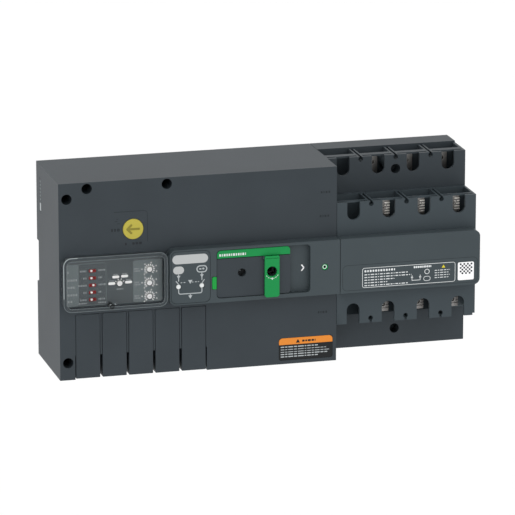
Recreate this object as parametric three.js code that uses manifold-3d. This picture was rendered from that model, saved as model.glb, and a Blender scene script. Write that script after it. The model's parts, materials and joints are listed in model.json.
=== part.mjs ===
// Automatic transfer switch: a control housing on the left and a four-pole-wide switch body on the right.
// Millimetres. X runs to the right, Y to the back and Z up. The front faces -Y.
// Inside this file every place is given from the lower left corner of the rear face: x from the left side,
// d as the depth in front of the rear face, and z from the underside. The group then moves the origin to the
// middle of the floor of the rail channel.
import * as THREE from 'three';
import { mergeVertices } from 'three/addons/utils/BufferGeometryUtils.js';
import Module from 'manifold-3d';

const wasm = await Module();
wasm.setup();

// Overall sizes
const TOTAL_WIDTH = 351.4;
const TOTAL_HEIGHT = 164;
const CONTROL_WIDTH = 232;
const BODY_DEPTH = 82.6;
const BELT_DEPTH = 93.7;
const WALL = 2.5;
const GAP = 0.3;

// Rail channel across the back, for a 35 mm rail
const RAIL_BOTTOM = 62.7;
const RAIL_TOP = 98;
const RAIL_DEPTH = 6;
const RAIL_CENTRE = (RAIL_BOTTOM + RAIL_TOP) / 2;

// Raised belt across the front
const BELT_BOTTOM = 59.5;
const BELT_TOP = 105.3;
const BELT_LEFT = 89;
const BELT_CORNER = 5;
const BELT_SKIN = 2.2;
const BELT_CHAMFER = 0.8;

// Switch body: a rear layer and a front layer, four poles wide
const SWITCH_LEFT = CONTROL_WIDTH + GAP;
const BASE_BOTTOM = 0.6;
const BASE_DEPTH = 50.9;
const FRONT_LAYER_BOTTOM = 30.1;
const FRONT_LAYER_TOP = 133;
const FRONT_LAYER_RIGHT = 351;
const FRONT_LAYER_NOTCH = { width: 1.9, height: 1.8 };
const POLE_PITCH = 30;
const FIRST_POLE_X = 246.4;
const POLES = [0, 1, 2, 3].map((i) => FIRST_POLE_X + i * POLE_PITCH);
const LIVE_POLES = POLES.slice(1);
const CHAMBER_WIDTH = 25.4;
const CHAMBER_FLOOR = 2.5;
const WIRE_SLOT_WIDTH = 10.9;
const WIRE_SLOT_LENGTH = 18;
const BARRIER_SLOT_WIDTH = 2;
const KEYHOLE_RADIUS = 2;
const MOUNTING_HOLE_X = 291.3;
const MOUNTING_HOLE_HEIGHTS = [14.4, 150.8];

// Settings area behind the clear lid
const LID = { left: 1, right: 88, bottom: 59, top: 105, corner: 7, skin: 1.4 };
const LID_AXIS = { d: 88.5, z: 101.5 };
const PANEL = { left: 4.6, right: 85.4, bottom: 61.6, top: 102.4, back: 81, front: 83.8 };
const DIP_X = 27.2;
const DIP_TOP_Z = 90.7;
const DIP_PITCH = 6;
const DIP_COUNT = 5;
const DIP_THROW = 1.6;
const SELECTOR = { x: 49.7, z: 78.7 };
const DIAL_X = 74.5;
const DIAL_MIDDLE_Z = 77.5;
const DIAL_PITCH = 11.35;
const TRIMMER_RADIUS = 2.5;

// Module bays under the settings
const MODULE_COUNT = 5;
const MODULE_LEFT = 13.3;
const MODULE_PITCH = 22.05;
const MODULE_WIDTH = 20;
const MODULE_BOTTOM = 0.7;
const MODULE_TOP = 54.3;
const BAY_DEPTH = 24;

// Controls on the belt
const SHUTTER_WINDOW = { left: 128, right: 206.8, bottom: 62.8, top: 103.2, corner: 3 };
const SHUTTER_RIGHT = 190;
const POCKET_FLOOR_BACK = 86.4;
const POCKET_FLOOR_FRONT = 88.6;
const AXIS_Z = 83;
const SPINDLE_X = 174;
const FLAG_X = 149.5;
const HANDLE_HOLE_RADIUS = 4.2;
const FLAG_HOLE_RADIUS = 3.3;
const BAR = { left: 167.9, right: 180.1, bottom: 61.5, top: 95.9 };
const SEAL_BUSH = { x: 219.1, z: 83.1, radius: 2.5 };
const LATCH = { left: 124.3, right: 127.8, bottom: 71, top: 81.2 };
const DIAGRAM = { left: 90.2, right: 122.5, bottom: 61, top: 104, corner: 4.5 };
const LAMP_XS = [96.2, 115.6];
const LAMP_Z = 74.9;
const KNOB = { x: 61.4, z: 123, radius: 8.4 };
const ACCESS_HOLES = [[6.7, 150.8], [23.4, 158.6], [89.6, 158.6], [6.7, 14.4]];
const ACCESS_HOLE_RADIUS = 4.3;

// Switching mechanism
const SOURCE_1_AXIS = 30;
const SOURCE_2_AXIS = 70;
const CRANK = 8;
const CRANK_PIN_RADIUS = 1.5;
const SHAFT_RADIUS = 3;
const BLADE_REACH = 13;
const BLADE_HALF_THICKNESS = 3;
const CONTACT_GAP = 0.4;
const CONTACT_THICKNESS = 3.6;
const OPEN_ANGLE = THREE.MathUtils.degToRad(45);
const LINK_X = 195;
const LINK_THICKNESS = 3;
const LINK_HALF_HEIGHT = 5.5;

// ---- Solids ----

// A closed geometry as a solid that can be joined and cut.
function solid(geometry) {
  const bare = geometry.clone();
  bare.deleteAttribute('normal');
  bare.deleteAttribute('uv');
  const merged = mergeVertices(bare, 1e-4);
  return new wasm.Manifold(new wasm.Mesh({
    numProp: 3,
    vertProperties: new Float32Array(merged.attributes.position.array),
    triVerts: new Uint32Array(merged.index.array),
  }));
}

function block(x0, x1, d0, d1, z0, z1) {
  const box = new THREE.BoxGeometry(x1 - x0, d1 - d0, z1 - z0);
  return solid(box.translate((x0 + x1) / 2, -(d0 + d1) / 2, (z0 + z1) / 2));
}

// A cylinder that runs from back to front.
function rodFront(x, z, radius, d0, d1, sides = 16) {
  const rod = new THREE.CylinderGeometry(radius, radius, d1 - d0, sides);
  return solid(rod.translate(x, -(d0 + d1) / 2, z));
}

// A cylinder that runs from left to right.
function rodAcross(d, z, radius, x0, x1, sides = 12) {
  const rod = new THREE.CylinderGeometry(radius, radius, x1 - x0, sides).rotateZ(Math.PI / 2);
  return solid(rod.translate((x0 + x1) / 2, -d, z));
}

// A cylinder that stands upright.
function rodUp(x, d, radius, z0, z1, sides = 12) {
  const rod = new THREE.CylinderGeometry(radius, radius, z1 - z0, sides).rotateX(Math.PI / 2);
  return solid(rod.translate(x, -d, (z0 + z1) / 2));
}

// A front-view outline (x, z) given thickness from depth d0 to d1.
function plate(outline, d0, d1) {
  const geometry = new THREE.ExtrudeGeometry(outline, {
    depth: d1 - d0, bevelEnabled: false, curveSegments: 3,
  });
  return solid(geometry.rotateX(Math.PI / 2).translate(0, -d0, 0));
}

// A side-view outline (-d, z) run from x0 to x1.
function prism(outline, x0, x1) {
  const geometry = new THREE.ExtrudeGeometry(outline, {
    depth: x1 - x0, bevelEnabled: false, curveSegments: 5,
  });
  const turn = new THREE.Matrix4().makeBasis(
    new THREE.Vector3(0, 1, 0), new THREE.Vector3(0, 0, 1), new THREE.Vector3(1, 0, 0));
  return solid(geometry.applyMatrix4(turn).translate(x0, 0, 0));
}

function roundedRect(left, right, bottom, top, r) {
  const s = new THREE.Shape();
  s.moveTo(left + r, bottom);
  s.lineTo(right - r, bottom);
  s.absarc(right - r, bottom + r, r, -Math.PI / 2, 0);
  s.lineTo(right, top - r);
  s.absarc(right - r, top - r, r, 0, Math.PI / 2);
  s.lineTo(left + r, top);
  s.absarc(left + r, top - r, r, Math.PI / 2, Math.PI);
  s.lineTo(left, bottom + r);
  s.absarc(left + r, bottom + r, r, Math.PI, Math.PI * 1.5);
  return s;
}

// A slot that is round at one end and runs past an edge at the other; up is 1 or -1.
function openSlot(x, roundEnd, length, width, up) {
  const r = width / 2;
  const s = new THREE.Shape();
  const centre = roundEnd + up * r;
  s.moveTo(x - r, centre + up * (length - r));
  s.lineTo(x - r, centre);
  s.absarc(x, centre, r, Math.PI, up > 0 ? Math.PI * 2 : 0, up < 0);
  s.lineTo(x + r, centre + up * (length - r));
  return s;
}

const join = (...solids) => solids.reduce((a, b) => a.add(b));
const cut = (body, ...tools) => tools.reduce((a, b) => a.subtract(b), body);

// ---- Materials ----

const plastic = (color, roughness = 0.55) => (
  new THREE.MeshStandardMaterial({ color, roughness, metalness: 0 }));
const metal = (color, roughness = 0.35) => (
  new THREE.MeshStandardMaterial({ color, roughness, metalness: 1 }));

const MATERIALS = {
  housing: plastic(0x474e53),
  belt: plastic(0x535b60),
  panel: plastic(0x4e5557, 0.6),
  inner: plastic(0x3a3d3f, 0.7),
  lid: new THREE.MeshStandardMaterial({
    color: 0x8a9094, roughness: 0.1, metalness: 0, transparent: true, opacity: 0.35,
  }),
  green: plastic(0x28945a, 0.45),
  brightGreen: plastic(0x2aaa50, 0.45),
  yellow: plastic(0xcdbe4b, 0.5),
  red: plastic(0x962d2d, 0.45),
  white: plastic(0xe6e6e4, 0.45),
  lamp: plastic(0xd8dcdc, 0.2),
  labelBlack: plastic(0x262626, 0.5),
  labelPale: plastic(0xf0f0f0, 0.5),
  steel: metal(0xa8aaad),
  copper: metal(0xb87345),
  tinned: metal(0xbfbdb6, 0.4),
  board: plastic(0x1f5a3c, 0.6),
};

// ---- Housing pieces ----

function accessTubes() {
  const inside = block(0, CONTROL_WIDTH, 0, BODY_DEPTH, 0, TOTAL_HEIGHT);
  const tubeBack = 34;
  return ACCESS_HOLES
    .map(([x, z]) => rodFront(x, z, ACCESS_HOLE_RADIUS + 1.2, tubeBack, BODY_DEPTH))
    .reduce((a, b) => a.add(b))
    .intersect(inside);
}

function moduleX(i) {
  return MODULE_LEFT + i * MODULE_PITCH;
}

// The bay that takes the modules, with a rib in each gap between two covers.
function moduleBay() {
  const left = MODULE_LEFT;
  const right = moduleX(MODULE_COUNT - 1) + MODULE_WIDTH;
  const back = BODY_DEPTH - BAY_DEPTH;
  const ribBottom = 19.8;
  const ribFront = BODY_DEPTH - 0.5;
  const ribHalf = 0.7;
  const footGapLeft = 0.7;
  const footGapRight = 1;
  const space = join(
    block(left - GAP, right + GAP, back, BODY_DEPTH + 1, -1, MODULE_TOP + GAP),
    block(left - footGapLeft, right + footGapRight, back, BODY_DEPTH + 1, -1, ribBottom),
  );
  const walls = block(left - 3, right + 3, back - 2, BODY_DEPTH - 1, 0, MODULE_TOP + GAP + 2);
  const ribs = [];
  for (let i = 0; i < MODULE_COUNT - 1; i += 1) {
    const x = moduleX(i) + (MODULE_PITCH + MODULE_WIDTH) / 2;
    ribs.push(block(x - ribHalf, x + ribHalf, back - 1, ribFront, ribBottom, MODULE_TOP + 1));
  }
  return { space, walls, ribs: join(...ribs) };
}

function controlHousing() {
  const bay = moduleBay();
  const shell = cut(
    block(0, CONTROL_WIDTH, 0, BODY_DEPTH, 0, TOTAL_HEIGHT),
    block(WALL, CONTROL_WIDTH - WALL, -1, BODY_DEPTH - WALL, WALL, TOTAL_HEIGHT - WALL),
  );
  const body = cut(
    join(shell, accessTubes(), bay.walls),
    bay.space,
    block(-1, CONTROL_WIDTH + 1, -1, RAIL_DEPTH, RAIL_BOTTOM, RAIL_TOP),
    block(CLIP.left - 0.6, CLIP.right + 0.6, -1, RAIL_DEPTH + GAP, -1, WALL + 1),
    block(PANEL.left - GAP, PANEL.right + GAP, BODY_DEPTH - WALL - 1, BODY_DEPTH + 1,
      PANEL.bottom - GAP, PANEL.top + GAP),
    block(BELT_LEFT + 5, CONTROL_WIDTH - 6, BODY_DEPTH - WALL - 1, BODY_DEPTH + 1, 64, 101),
    rodFront(KNOB.x, KNOB.z, KNOB.radius + GAP, BODY_DEPTH - WALL - 1, BODY_DEPTH + 1, 32),
    ...ACCESS_HOLES.map(([x, z]) => rodFront(x, z, ACCESS_HOLE_RADIUS, 30, BODY_DEPTH + 1)),
    rodAcross(SOURCE_1_AXIS, AXIS_Z, SHAFT_RADIUS + GAP, CONTROL_WIDTH - WALL - 1, CONTROL_WIDTH + 1),
    rodAcross(SOURCE_2_AXIS, AXIS_Z, SHAFT_RADIUS + GAP, CONTROL_WIDTH - WALL - 1, CONTROL_WIDTH + 1),
    labelRecess(WARNING, BODY_DEPTH),
    block(-1, 0.5, SIDE_LABEL.back - GAP, SIDE_LABEL.front + GAP,
      SIDE_LABEL.bottom - GAP, SIDE_LABEL.top + GAP),
  );
  return body.add(bay.ribs);
}

// The rail clip and the groove that it slides in
const CLIP = { left: 108.6, right: 125.4, bottom: 5, top: 65.2, back: 0.6, front: 5.4 };
const CLIP_WINDOW = { left: 113.5, right: 120.5, bottom: 24, top: 46 };
const CLIP_PEG_TOP = 30;
const HOOK_POCKET_DEPTH = 0.6;

function rearPlate() {
  const left = WALL + GAP;
  const right = CONTROL_WIDTH - WALL - GAP;
  const bottom = WALL + GAP;
  const top = TOTAL_HEIGHT - WALL - GAP;
  const thickness = 3;
  const channelBack = RAIL_DEPTH + WALL;
  const sheet = block(left, right, 0, thickness, bottom, top);
  const channel = block(left, right, 0, channelBack, RAIL_BOTTOM - WALL, RAIL_TOP + WALL);
  const grooveBacking = block(CLIP.left - 4, CLIP.right + 4, 0, channelBack, bottom, RAIL_BOTTOM);
  const groove = block(CLIP.left - 0.5, CLIP.right + 0.5, -1, RAIL_DEPTH, -1, RAIL_BOTTOM + 1);
  const hookPocket = block(CLIP.left - 0.5, CLIP.right + 0.5, -1, RAIL_DEPTH + HOOK_POCKET_DEPTH,
    RAIL_BOTTOM - 1, CLIP.top + 0.5);
  const peg = block(CLIP_WINDOW.left + 0.8, CLIP_WINDOW.right - 0.8, 1, RAIL_DEPTH + 1,
    CLIP_PEG_TOP - 2, CLIP_PEG_TOP);
  const body = cut(
    join(sheet, channel, grooveBacking),
    block(left - 1, right + 1, -1, RAIL_DEPTH, RAIL_BOTTOM, RAIL_TOP),
    groove,
    hookPocket,
  );
  return body.add(peg);
}

function railClip() {
  return cut(
    block(CLIP.left, CLIP.right, CLIP.back, CLIP.front, CLIP.bottom, RAIL_BOTTOM - 0.4)
      .add(block(CLIP.left, CLIP.right, CLIP.back, 4.2, CLIP.bottom, CLIP.top)),
    block(CLIP_WINDOW.left, CLIP_WINDOW.right, -1, RAIL_DEPTH + 1, CLIP_WINDOW.bottom, CLIP_WINDOW.top),
    block(CLIP.left + 5, CLIP.right - 5, -1, RAIL_DEPTH + 1, 7.4, 12.6),
  );
}

// A helix that stands upright.
class Helix extends THREE.Curve {
  constructor(x, d, radius, z0, z1, turns) {
    super();
    Object.assign(this, { x, d, radius, z0, z1, turns });
  }

  getPoint(t, target = new THREE.Vector3()) {
    const a = t * this.turns * Math.PI * 2;
    return target.set(
      this.x + this.radius * Math.cos(a),
      -this.d + this.radius * Math.sin(a),
      this.z0 + t * (this.z1 - this.z0),
    );
  }
}

function clipSpring() {
  const wire = 0.45;
  const section = new THREE.Shape();
  section.absarc(0, 0, wire, 0, Math.PI * 2);
  const path = new Helix(
    (CLIP_WINDOW.left + CLIP_WINDOW.right) / 2, (CLIP.back + CLIP.front) / 2, 1.8,
    CLIP_PEG_TOP + wire + GAP, CLIP_WINDOW.top - wire - GAP, 6);
  return solid(new THREE.ExtrudeGeometry(section, {
    extrudePath: path, steps: 48, curveSegments: 3, bevelEnabled: false,
  }));
}

// ---- Labels, each in a shallow recess ----

const WARNING = { left: 183.4, right: 228.8, bottom: 3.2, top: 21.9, corner: 2 };
const RATING = { left: 250.6, right: 330.4, bottom: 63, top: 80, corner: 2 };
const CODE = { left: 332.5, right: 346.3, bottom: 63.8, top: 79, corner: 1 };
const SIDE_LABEL = { back: 12, front: 18, bottom: 125, top: 152.5 };
const LABEL_RECESS = 0.6;

function labelRecess(label, face) {
  return plate(roundedRect(label.left - 0.2, label.right + 0.2, label.bottom - 0.2, label.top + 0.2,
    label.corner), face - LABEL_RECESS, face + 1);
}

function labelPlate(label, face) {
  const outline = roundedRect(label.left, label.right, label.bottom, label.top, label.corner);
  return plate(outline, face - LABEL_RECESS + GAP, face + 0.1);
}

function sideLabel() {
  return block(0, 0.3, SIDE_LABEL.back, SIDE_LABEL.front, SIDE_LABEL.bottom, SIDE_LABEL.top);
}

// ---- Belt covers ----

// The belt's solid shape from x0 to x1: a flat ledge on top with a small chamfer at its front edge.
function beltShape(x0, x1) {
  const back = BODY_DEPTH + GAP;
  const s = new THREE.Shape();
  s.moveTo(-back, BELT_BOTTOM);
  s.lineTo(-BELT_DEPTH, BELT_BOTTOM);
  s.lineTo(-BELT_DEPTH, BELT_TOP - BELT_CHAMFER);
  s.lineTo(-BELT_DEPTH + BELT_CHAMFER, BELT_TOP);
  s.lineTo(-back, BELT_TOP);
  return prism(s, x0, x1);
}

// The belt from the front, with a radius at its free end and square where two covers meet.
function beltOutline(left, right, leftCorner, rightCorner) {
  const s = new THREE.Shape();
  const quarter = Math.PI / 2;
  const low = BELT_BOTTOM;
  const high = BELT_TOP;
  s.moveTo(left + leftCorner, low);
  s.lineTo(right - rightCorner, low);
  if (rightCorner) s.absarc(right - rightCorner, low + rightCorner, rightCorner, -quarter, 0);
  s.lineTo(right, high - rightCorner);
  if (rightCorner) s.absarc(right - rightCorner, high - rightCorner, rightCorner, 0, quarter);
  s.lineTo(left + leftCorner, high);
  if (leftCorner) s.absarc(left + leftCorner, high - leftCorner, leftCorner, quarter, 2 * quarter);
  s.lineTo(left, low + leftCorner);
  if (leftCorner) s.absarc(left + leftCorner, low + leftCorner, leftCorner, 2 * quarter, 3 * quarter);
  return s;
}

function controlFrontCover() {
  const right = CONTROL_WIDTH - GAP / 2;
  const faceBack = BELT_DEPTH - BELT_SKIN;
  const w = SHUTTER_WINDOW;
  const shell = cut(
    beltShape(BELT_LEFT, right).intersect(
      plate(beltOutline(BELT_LEFT, right, BELT_CORNER, 0), BODY_DEPTH, BELT_DEPTH + 1)),
    block(BELT_LEFT + BELT_SKIN, right - BELT_SKIN, BODY_DEPTH, faceBack,
      BELT_BOTTOM + BELT_SKIN, BELT_TOP - BELT_SKIN),
  );
  const pocket = block(w.left - 2, w.right + 2, POCKET_FLOOR_BACK, BELT_DEPTH - 0.5,
    BELT_BOTTOM + 0.5, BELT_TOP - 1);
  return cut(
    shell.add(pocket),
    plate(roundedRect(w.left, w.right, w.bottom, w.top, w.corner), POCKET_FLOOR_FRONT, BELT_DEPTH + 1),
    rodFront(SPINDLE_X, AXIS_Z, HANDLE_HOLE_RADIUS + 0.8, BODY_DEPTH, BELT_DEPTH),
    rodFront(FLAG_X, AXIS_Z, FLAG_HOLE_RADIUS + 0.5, BODY_DEPTH, BELT_DEPTH),
    block(LATCH.left - GAP, w.left + 1, BODY_DEPTH, BELT_DEPTH + 1, LATCH.bottom - GAP, LATCH.top + GAP),
    plate(roundedRect(DIAGRAM.left - GAP, DIAGRAM.right + GAP, DIAGRAM.bottom - GAP,
      DIAGRAM.top + GAP, DIAGRAM.corner), BELT_DEPTH - 1.2, BELT_DEPTH + 1),
    ...LAMP_XS.map((x) => rodFront(x, LAMP_Z, 2.3, BODY_DEPTH, BELT_DEPTH + 1, 16)),
    rodFront(SEAL_BUSH.x, SEAL_BUSH.z, SEAL_BUSH.radius + GAP, BODY_DEPTH, BELT_DEPTH + 1),
  );
}

function switchFrontCover() {
  const left = SWITCH_LEFT;
  return cut(
    beltShape(left, TOTAL_WIDTH).intersect(
      plate(beltOutline(left, TOTAL_WIDTH, 0, BELT_CORNER), BODY_DEPTH, BELT_DEPTH + 1)),
    block(left + BELT_SKIN, TOTAL_WIDTH - BELT_SKIN, BODY_DEPTH, BELT_DEPTH - BELT_SKIN,
      BELT_BOTTOM + BELT_SKIN, BELT_TOP - BELT_SKIN),
    labelRecess(RATING, BELT_DEPTH),
    labelRecess(CODE, BELT_DEPTH),
  );
}

function diagramPanel() {
  const outline = roundedRect(DIAGRAM.left, DIAGRAM.right, DIAGRAM.bottom, DIAGRAM.top, DIAGRAM.corner);
  return cut(
    plate(outline, BELT_DEPTH - 0.9, BELT_DEPTH + 0.1),
    ...LAMP_XS.map((x) => rodFront(x, LAMP_Z, 2.3, BODY_DEPTH, BELT_DEPTH + 1, 16)),
  );
}

// ---- Settings ----

function settingsLid() {
  const inner = LID.skin;
  const back = BODY_DEPTH + GAP;
  const outline = roundedRect(LID.left, LID.right, LID.bottom, LID.top, LID.corner);
  const hollow = roundedRect(LID.left + inner, LID.right - inner, LID.bottom + inner, LID.top - inner,
    LID.corner - inner);
  const notches = HINGE_EARS.map((x) => block(x - 0.4, x + EAR_WIDTH + 0.4, 85, BELT_DEPTH - inner,
    LID_AXIS.z, LID.top + 1));
  const shell = cut(
    plate(outline, back, BELT_DEPTH),
    plate(hollow, back - 1, BELT_DEPTH - inner),
    block(LID.left - 1, LID.right + 1, back - 1, LID_AXIS.d - 2.5, LID_AXIS.z - 0.5, LID.top + 1),
    ...notches,
    rodFront(41.1, LID.bottom + 3.2, 1.2, BODY_DEPTH, BELT_DEPTH + 1, 12),
  );
  const pinLength = 4;
  return join(
    shell,
    rodAcross(LID_AXIS.d, LID_AXIS.z, 1, LID.left + inner - 0.5, LID.left + inner + pinLength, 12),
    rodAcross(LID_AXIS.d, LID_AXIS.z, 1, LID.right - inner - pinLength, LID.right - inner + 0.5, 12),
  );
}

const EAR_WIDTH = 2;
const HINGE_EARS = [PANEL.left + 0.2, LID.left + LID.right - PANEL.left - 0.2 - EAR_WIDTH];

function dipZ(i) {
  return DIP_TOP_Z - i * DIP_PITCH;
}

function dialZ(i) {
  return DIAL_MIDDLE_Z + (1 - i) * DIAL_PITCH;
}

const DIP_BOSS = { half: 3.2, halfHeight: 1.5 };
const DIP_SLOT = { half: 2.3, halfHeight: 1.1 };

function settingsPanel() {
  const ears = HINGE_EARS.map((x) => block(x, x + EAR_WIDTH, PANEL.back, LID_AXIS.d + 1.7,
    LID_AXIS.z - 1.7, PANEL.top));
  const knobHoles = [[SELECTOR.x, SELECTOR.z], ...[0, 1, 2].map((i) => [DIAL_X, dialZ(i)])];
  const dipWindows = Array.from({ length: DIP_COUNT }, (_, i) => block(
    DIP_X - DIP_BOSS.half - GAP, DIP_X + DIP_BOSS.half + GAP, PANEL.back - 1, PANEL.front + 1,
    dipZ(i) - DIP_BOSS.halfHeight - GAP, dipZ(i) + DIP_BOSS.halfHeight + GAP));
  return cut(
    join(plate(roundedRect(PANEL.left, PANEL.right, PANEL.bottom, PANEL.top, 2.5), PANEL.back, PANEL.front),
      ...ears),
    ...HINGE_EARS.map((x) => rodAcross(LID_AXIS.d, LID_AXIS.z, 1.3, x - 1, x + EAR_WIDTH + 1, 12)),
    ...knobHoles.map(([x, z]) => rodFront(x, z, TRIMMER_RADIUS + GAP, PANEL.back - 1, PANEL.front + 1)),
    ...dipWindows,
  );
}

function dipBlock() {
  const back = 74;
  const body = block(DIP_X - 5, DIP_X + 5, back, PANEL.back - GAP, dipZ(DIP_COUNT - 1) - 4, dipZ(0) + 4);
  const bosses = Array.from({ length: DIP_COUNT }, (_, i) => block(
    DIP_X - DIP_BOSS.half, DIP_X + DIP_BOSS.half, back + 1, PANEL.front,
    dipZ(i) - DIP_BOSS.halfHeight, dipZ(i) + DIP_BOSS.halfHeight));
  const slots = Array.from({ length: DIP_COUNT }, (_, i) => block(
    DIP_X - DIP_SLOT.half, DIP_X + DIP_SLOT.half, PANEL.front - 3.2, PANEL.front + 1,
    dipZ(i) - DIP_SLOT.halfHeight, dipZ(i) + DIP_SLOT.halfHeight));
  return cut(join(body, ...bosses), ...slots);
}

// The third slider stands at the right, the others at the left.
function dipSlider(i) {
  const x = DIP_X + (i === 2 ? 1 : -1) * DIP_THROW / 2;
  const half = 1.1;
  const halfHeight = 0.8;
  return block(x - half, x + half, PANEL.front - 2.9, PANEL.front + 0.8,
    dipZ(i) - halfHeight, dipZ(i) + halfHeight);
}

// A small rotary setting with a screwdriver slot; turn is the slot's angle from upright, clockwise.
function trimmer(x, z, turn) {
  const head = PANEL.front + 1;
  const slot = new THREE.BoxGeometry(0.9, 2, TRIMMER_RADIUS * 3)
    .rotateY(turn)
    .translate(x, -head, z);
  return cut(rodFront(x, z, TRIMMER_RADIUS, 74, head), solid(slot));
}

function controllerBoard() {
  const sheet = block(8, 121, 70, 71.6, 61.5, 103.5);
  const relays = [0, 1, 2].map((i) => block(20 + i * 24, 38 + i * 24, 54, 70.5, 84, 98));
  const chips = [0, 1, 2, 3].map((i) => block(18 + i * 22, 30 + i * 22, 67.5, 70.5, 66, 76));
  return join(sheet, ...relays, ...chips, rodUp(110, 62, 6, 66, 90), block(104, 116, 60, 70.5, 66, 90));
}

function transformer() {
  const core = block(112, 160, 18, 56, 112, 152);
  const coil = block(120, 152, 11, 63, 118, 146);
  return core.add(coil);
}

// ---- Module covers and the knob ----

function moduleCover(i) {
  const left = moduleX(i);
  const right = left + MODULE_WIDTH;
  const back = BODY_DEPTH - 18;
  const skin = 1.6;
  return cut(
    block(left, right, back, BODY_DEPTH, MODULE_BOTTOM, MODULE_TOP),
    block(left + skin, right - skin, back - 1, BODY_DEPTH - skin, MODULE_BOTTOM + skin, MODULE_TOP - skin),
  );
}

function autoManualKnob() {
  const face = BODY_DEPTH + 0.6;
  const arrowDepth = 0.8;
  const shaft = block(KNOB.x - 5.5, KNOB.x + 5.5, face - arrowDepth, face + 1, KNOB.z - 0.7, KNOB.z + 0.7);
  const barb = (side) => solid(new THREE.BoxGeometry(5.2, 2 * arrowDepth, 1.4)
    .translate(2.6, 0, 0)
    .rotateY(-side * Math.PI / 4)
    .translate(KNOB.x - 5.5, -face, KNOB.z));
  return cut(
    join(
      rodFront(KNOB.x, KNOB.z, KNOB.radius, BODY_DEPTH - WALL, face, 32),
      rodFront(KNOB.x, KNOB.z, 4, 66, BODY_DEPTH - WALL + 0.5),
      block(KNOB.x - 4, KNOB.x + 9, 68, 72, KNOB.z - 3, KNOB.z + 3),
    ),
    shaft, barb(1), barb(-1),
  );
}

// ---- Shutter, bar and latch ----

const SHUTTER = { back: POCKET_FLOOR_FRONT + 0.4, front: 92.8, header: 95.2 };
const BAR_PIVOT = { d: 94.2, z: 94.9, radius: 1.1, pinRadius: 0.6 };
const BAR_TONGUE = { bottom: 66.5, top: 69.5, half: 3 };

function shutter() {
  const w = SHUTTER_WINDOW;
  const left = w.left + 0.4;
  const outline = roundedRect(left, SHUTTER_RIGHT, w.bottom + 0.4, w.top - 0.4, 2.6);
  const body = cut(
    plate(outline, SHUTTER.back, SHUTTER.front),
    block(left - 1, SHUTTER_RIGHT + 1, SHUTTER.front - 1.2, SHUTTER.front + 1, SHUTTER.header + 0.3, w.top),
    rodFront(SPINDLE_X, AXIS_Z, HANDLE_HOLE_RADIUS + 0.2, SHUTTER.back - 1, SHUTTER.front + 1),
    rodFront(FLAG_X, AXIS_Z, FLAG_HOLE_RADIUS, SHUTTER.back - 1, SHUTTER.front + 1),
    block(SPINDLE_X - BAR_TONGUE.half - 0.4, SPINDLE_X + BAR_TONGUE.half + 0.4,
      SHUTTER.back - 1, SHUTTER.front + 1, BAR_TONGUE.bottom - 1, BAR_TONGUE.top + 0.4),
  );
  const ears = [BAR.left - 0.3 - EAR_THICKNESS, BAR.right + 0.3].map((x) => block(x, x + EAR_THICKNESS,
    SHUTTER.front - 1.2, BAR_PIVOT.d + 1, BAR_PIVOT.z - 1.2, BAR_PIVOT.z + 1));
  const pinReach = 2.2;
  return join(
    body,
    ...ears,
    rodAcross(BAR_PIVOT.d, BAR_PIVOT.z, BAR_PIVOT.pinRadius, BAR.left - 1, BAR.left + pinReach),
    rodAcross(BAR_PIVOT.d, BAR_PIVOT.z, BAR_PIVOT.pinRadius, BAR.right - pinReach, BAR.right + 1),
  );
}

const EAR_THICKNESS = 1.2;

function shutterHeader() {
  const w = SHUTTER_WINDOW;
  const outline = roundedRect(w.left + 0.6, SHUTTER_RIGHT - 0.2, SHUTTER.header + 0.9, w.top - 0.6, 2.2);
  return plate(outline, SHUTTER.front - 0.9, SHUTTER.front + 0.2);
}

// The bar swings up on pins at its top; its tongue catches in the shutter.
function padlockBar() {
  const face = 95.9;
  const outline = roundedRect(BAR.left, BAR.right, BAR.bottom, BAR.top, 1);
  const boreLength = 3;
  const bore = (x0) => rodAcross(BAR_PIVOT.d, BAR_PIVOT.z, BAR_PIVOT.pinRadius + 0.25, x0, x0 + boreLength);
  return cut(
    join(
      plate(outline, BELT_DEPTH + GAP, face),
      rodAcross(BAR_PIVOT.d, BAR_PIVOT.z, BAR_PIVOT.radius, BAR.left, BAR.right),
      block(SPINDLE_X - BAR_TONGUE.half, SPINDLE_X + BAR_TONGUE.half, SHUTTER.back + 0.3, face - 1,
        BAR_TONGUE.bottom, BAR_TONGUE.top),
    ),
    rodFront(SPINDLE_X, AXIS_Z, HANDLE_HOLE_RADIUS, BODY_DEPTH, face + 1, 24),
    bore(BAR.left - 0.5),
    bore(BAR.right + 0.5 - boreLength),
  );
}

function releaseLatch() {
  return join(
    block(LATCH.left, LATCH.right, 89, BELT_DEPTH + 0.4, LATCH.bottom, LATCH.top),
    block(LATCH.left + 0.6, LATCH.right - 0.6, 83.2, 90, LATCH.bottom + 3, LATCH.top - 3),
  );
}

function sealBush() {
  return cut(
    rodFront(SEAL_BUSH.x, SEAL_BUSH.z, SEAL_BUSH.radius, 88, BELT_DEPTH - 0.3),
    rodFront(SEAL_BUSH.x, SEAL_BUSH.z, 1.1, 87, BELT_DEPTH + 1, 12),
  );
}

// ---- Switch body ----

function wireSlots(roundEnd, up, face) {
  return POLES.map((x) => plate(openSlot(x, roundEnd, WIRE_SLOT_LENGTH + 1, WIRE_SLOT_WIDTH, up),
    face - 3.5, face + 1));
}

// Slots for the barriers between poles: a keyhole in the front at height z and a slit from it to the edge.
function barrierSlots(z, edge, back, face) {
  return LIVE_POLES.flatMap((pole) => {
    const x = pole - POLE_PITCH / 2;
    const [low, high] = edge > z ? [z, edge + 1] : [edge - 1, z];
    return [
      rodFront(x, z, KEYHOLE_RADIUS, face - 8, face + 1, 12),
      block(x - BARRIER_SLOT_WIDTH / 2, x + BARRIER_SLOT_WIDTH / 2, back, face + 1, low, high),
    ];
  });
}

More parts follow.
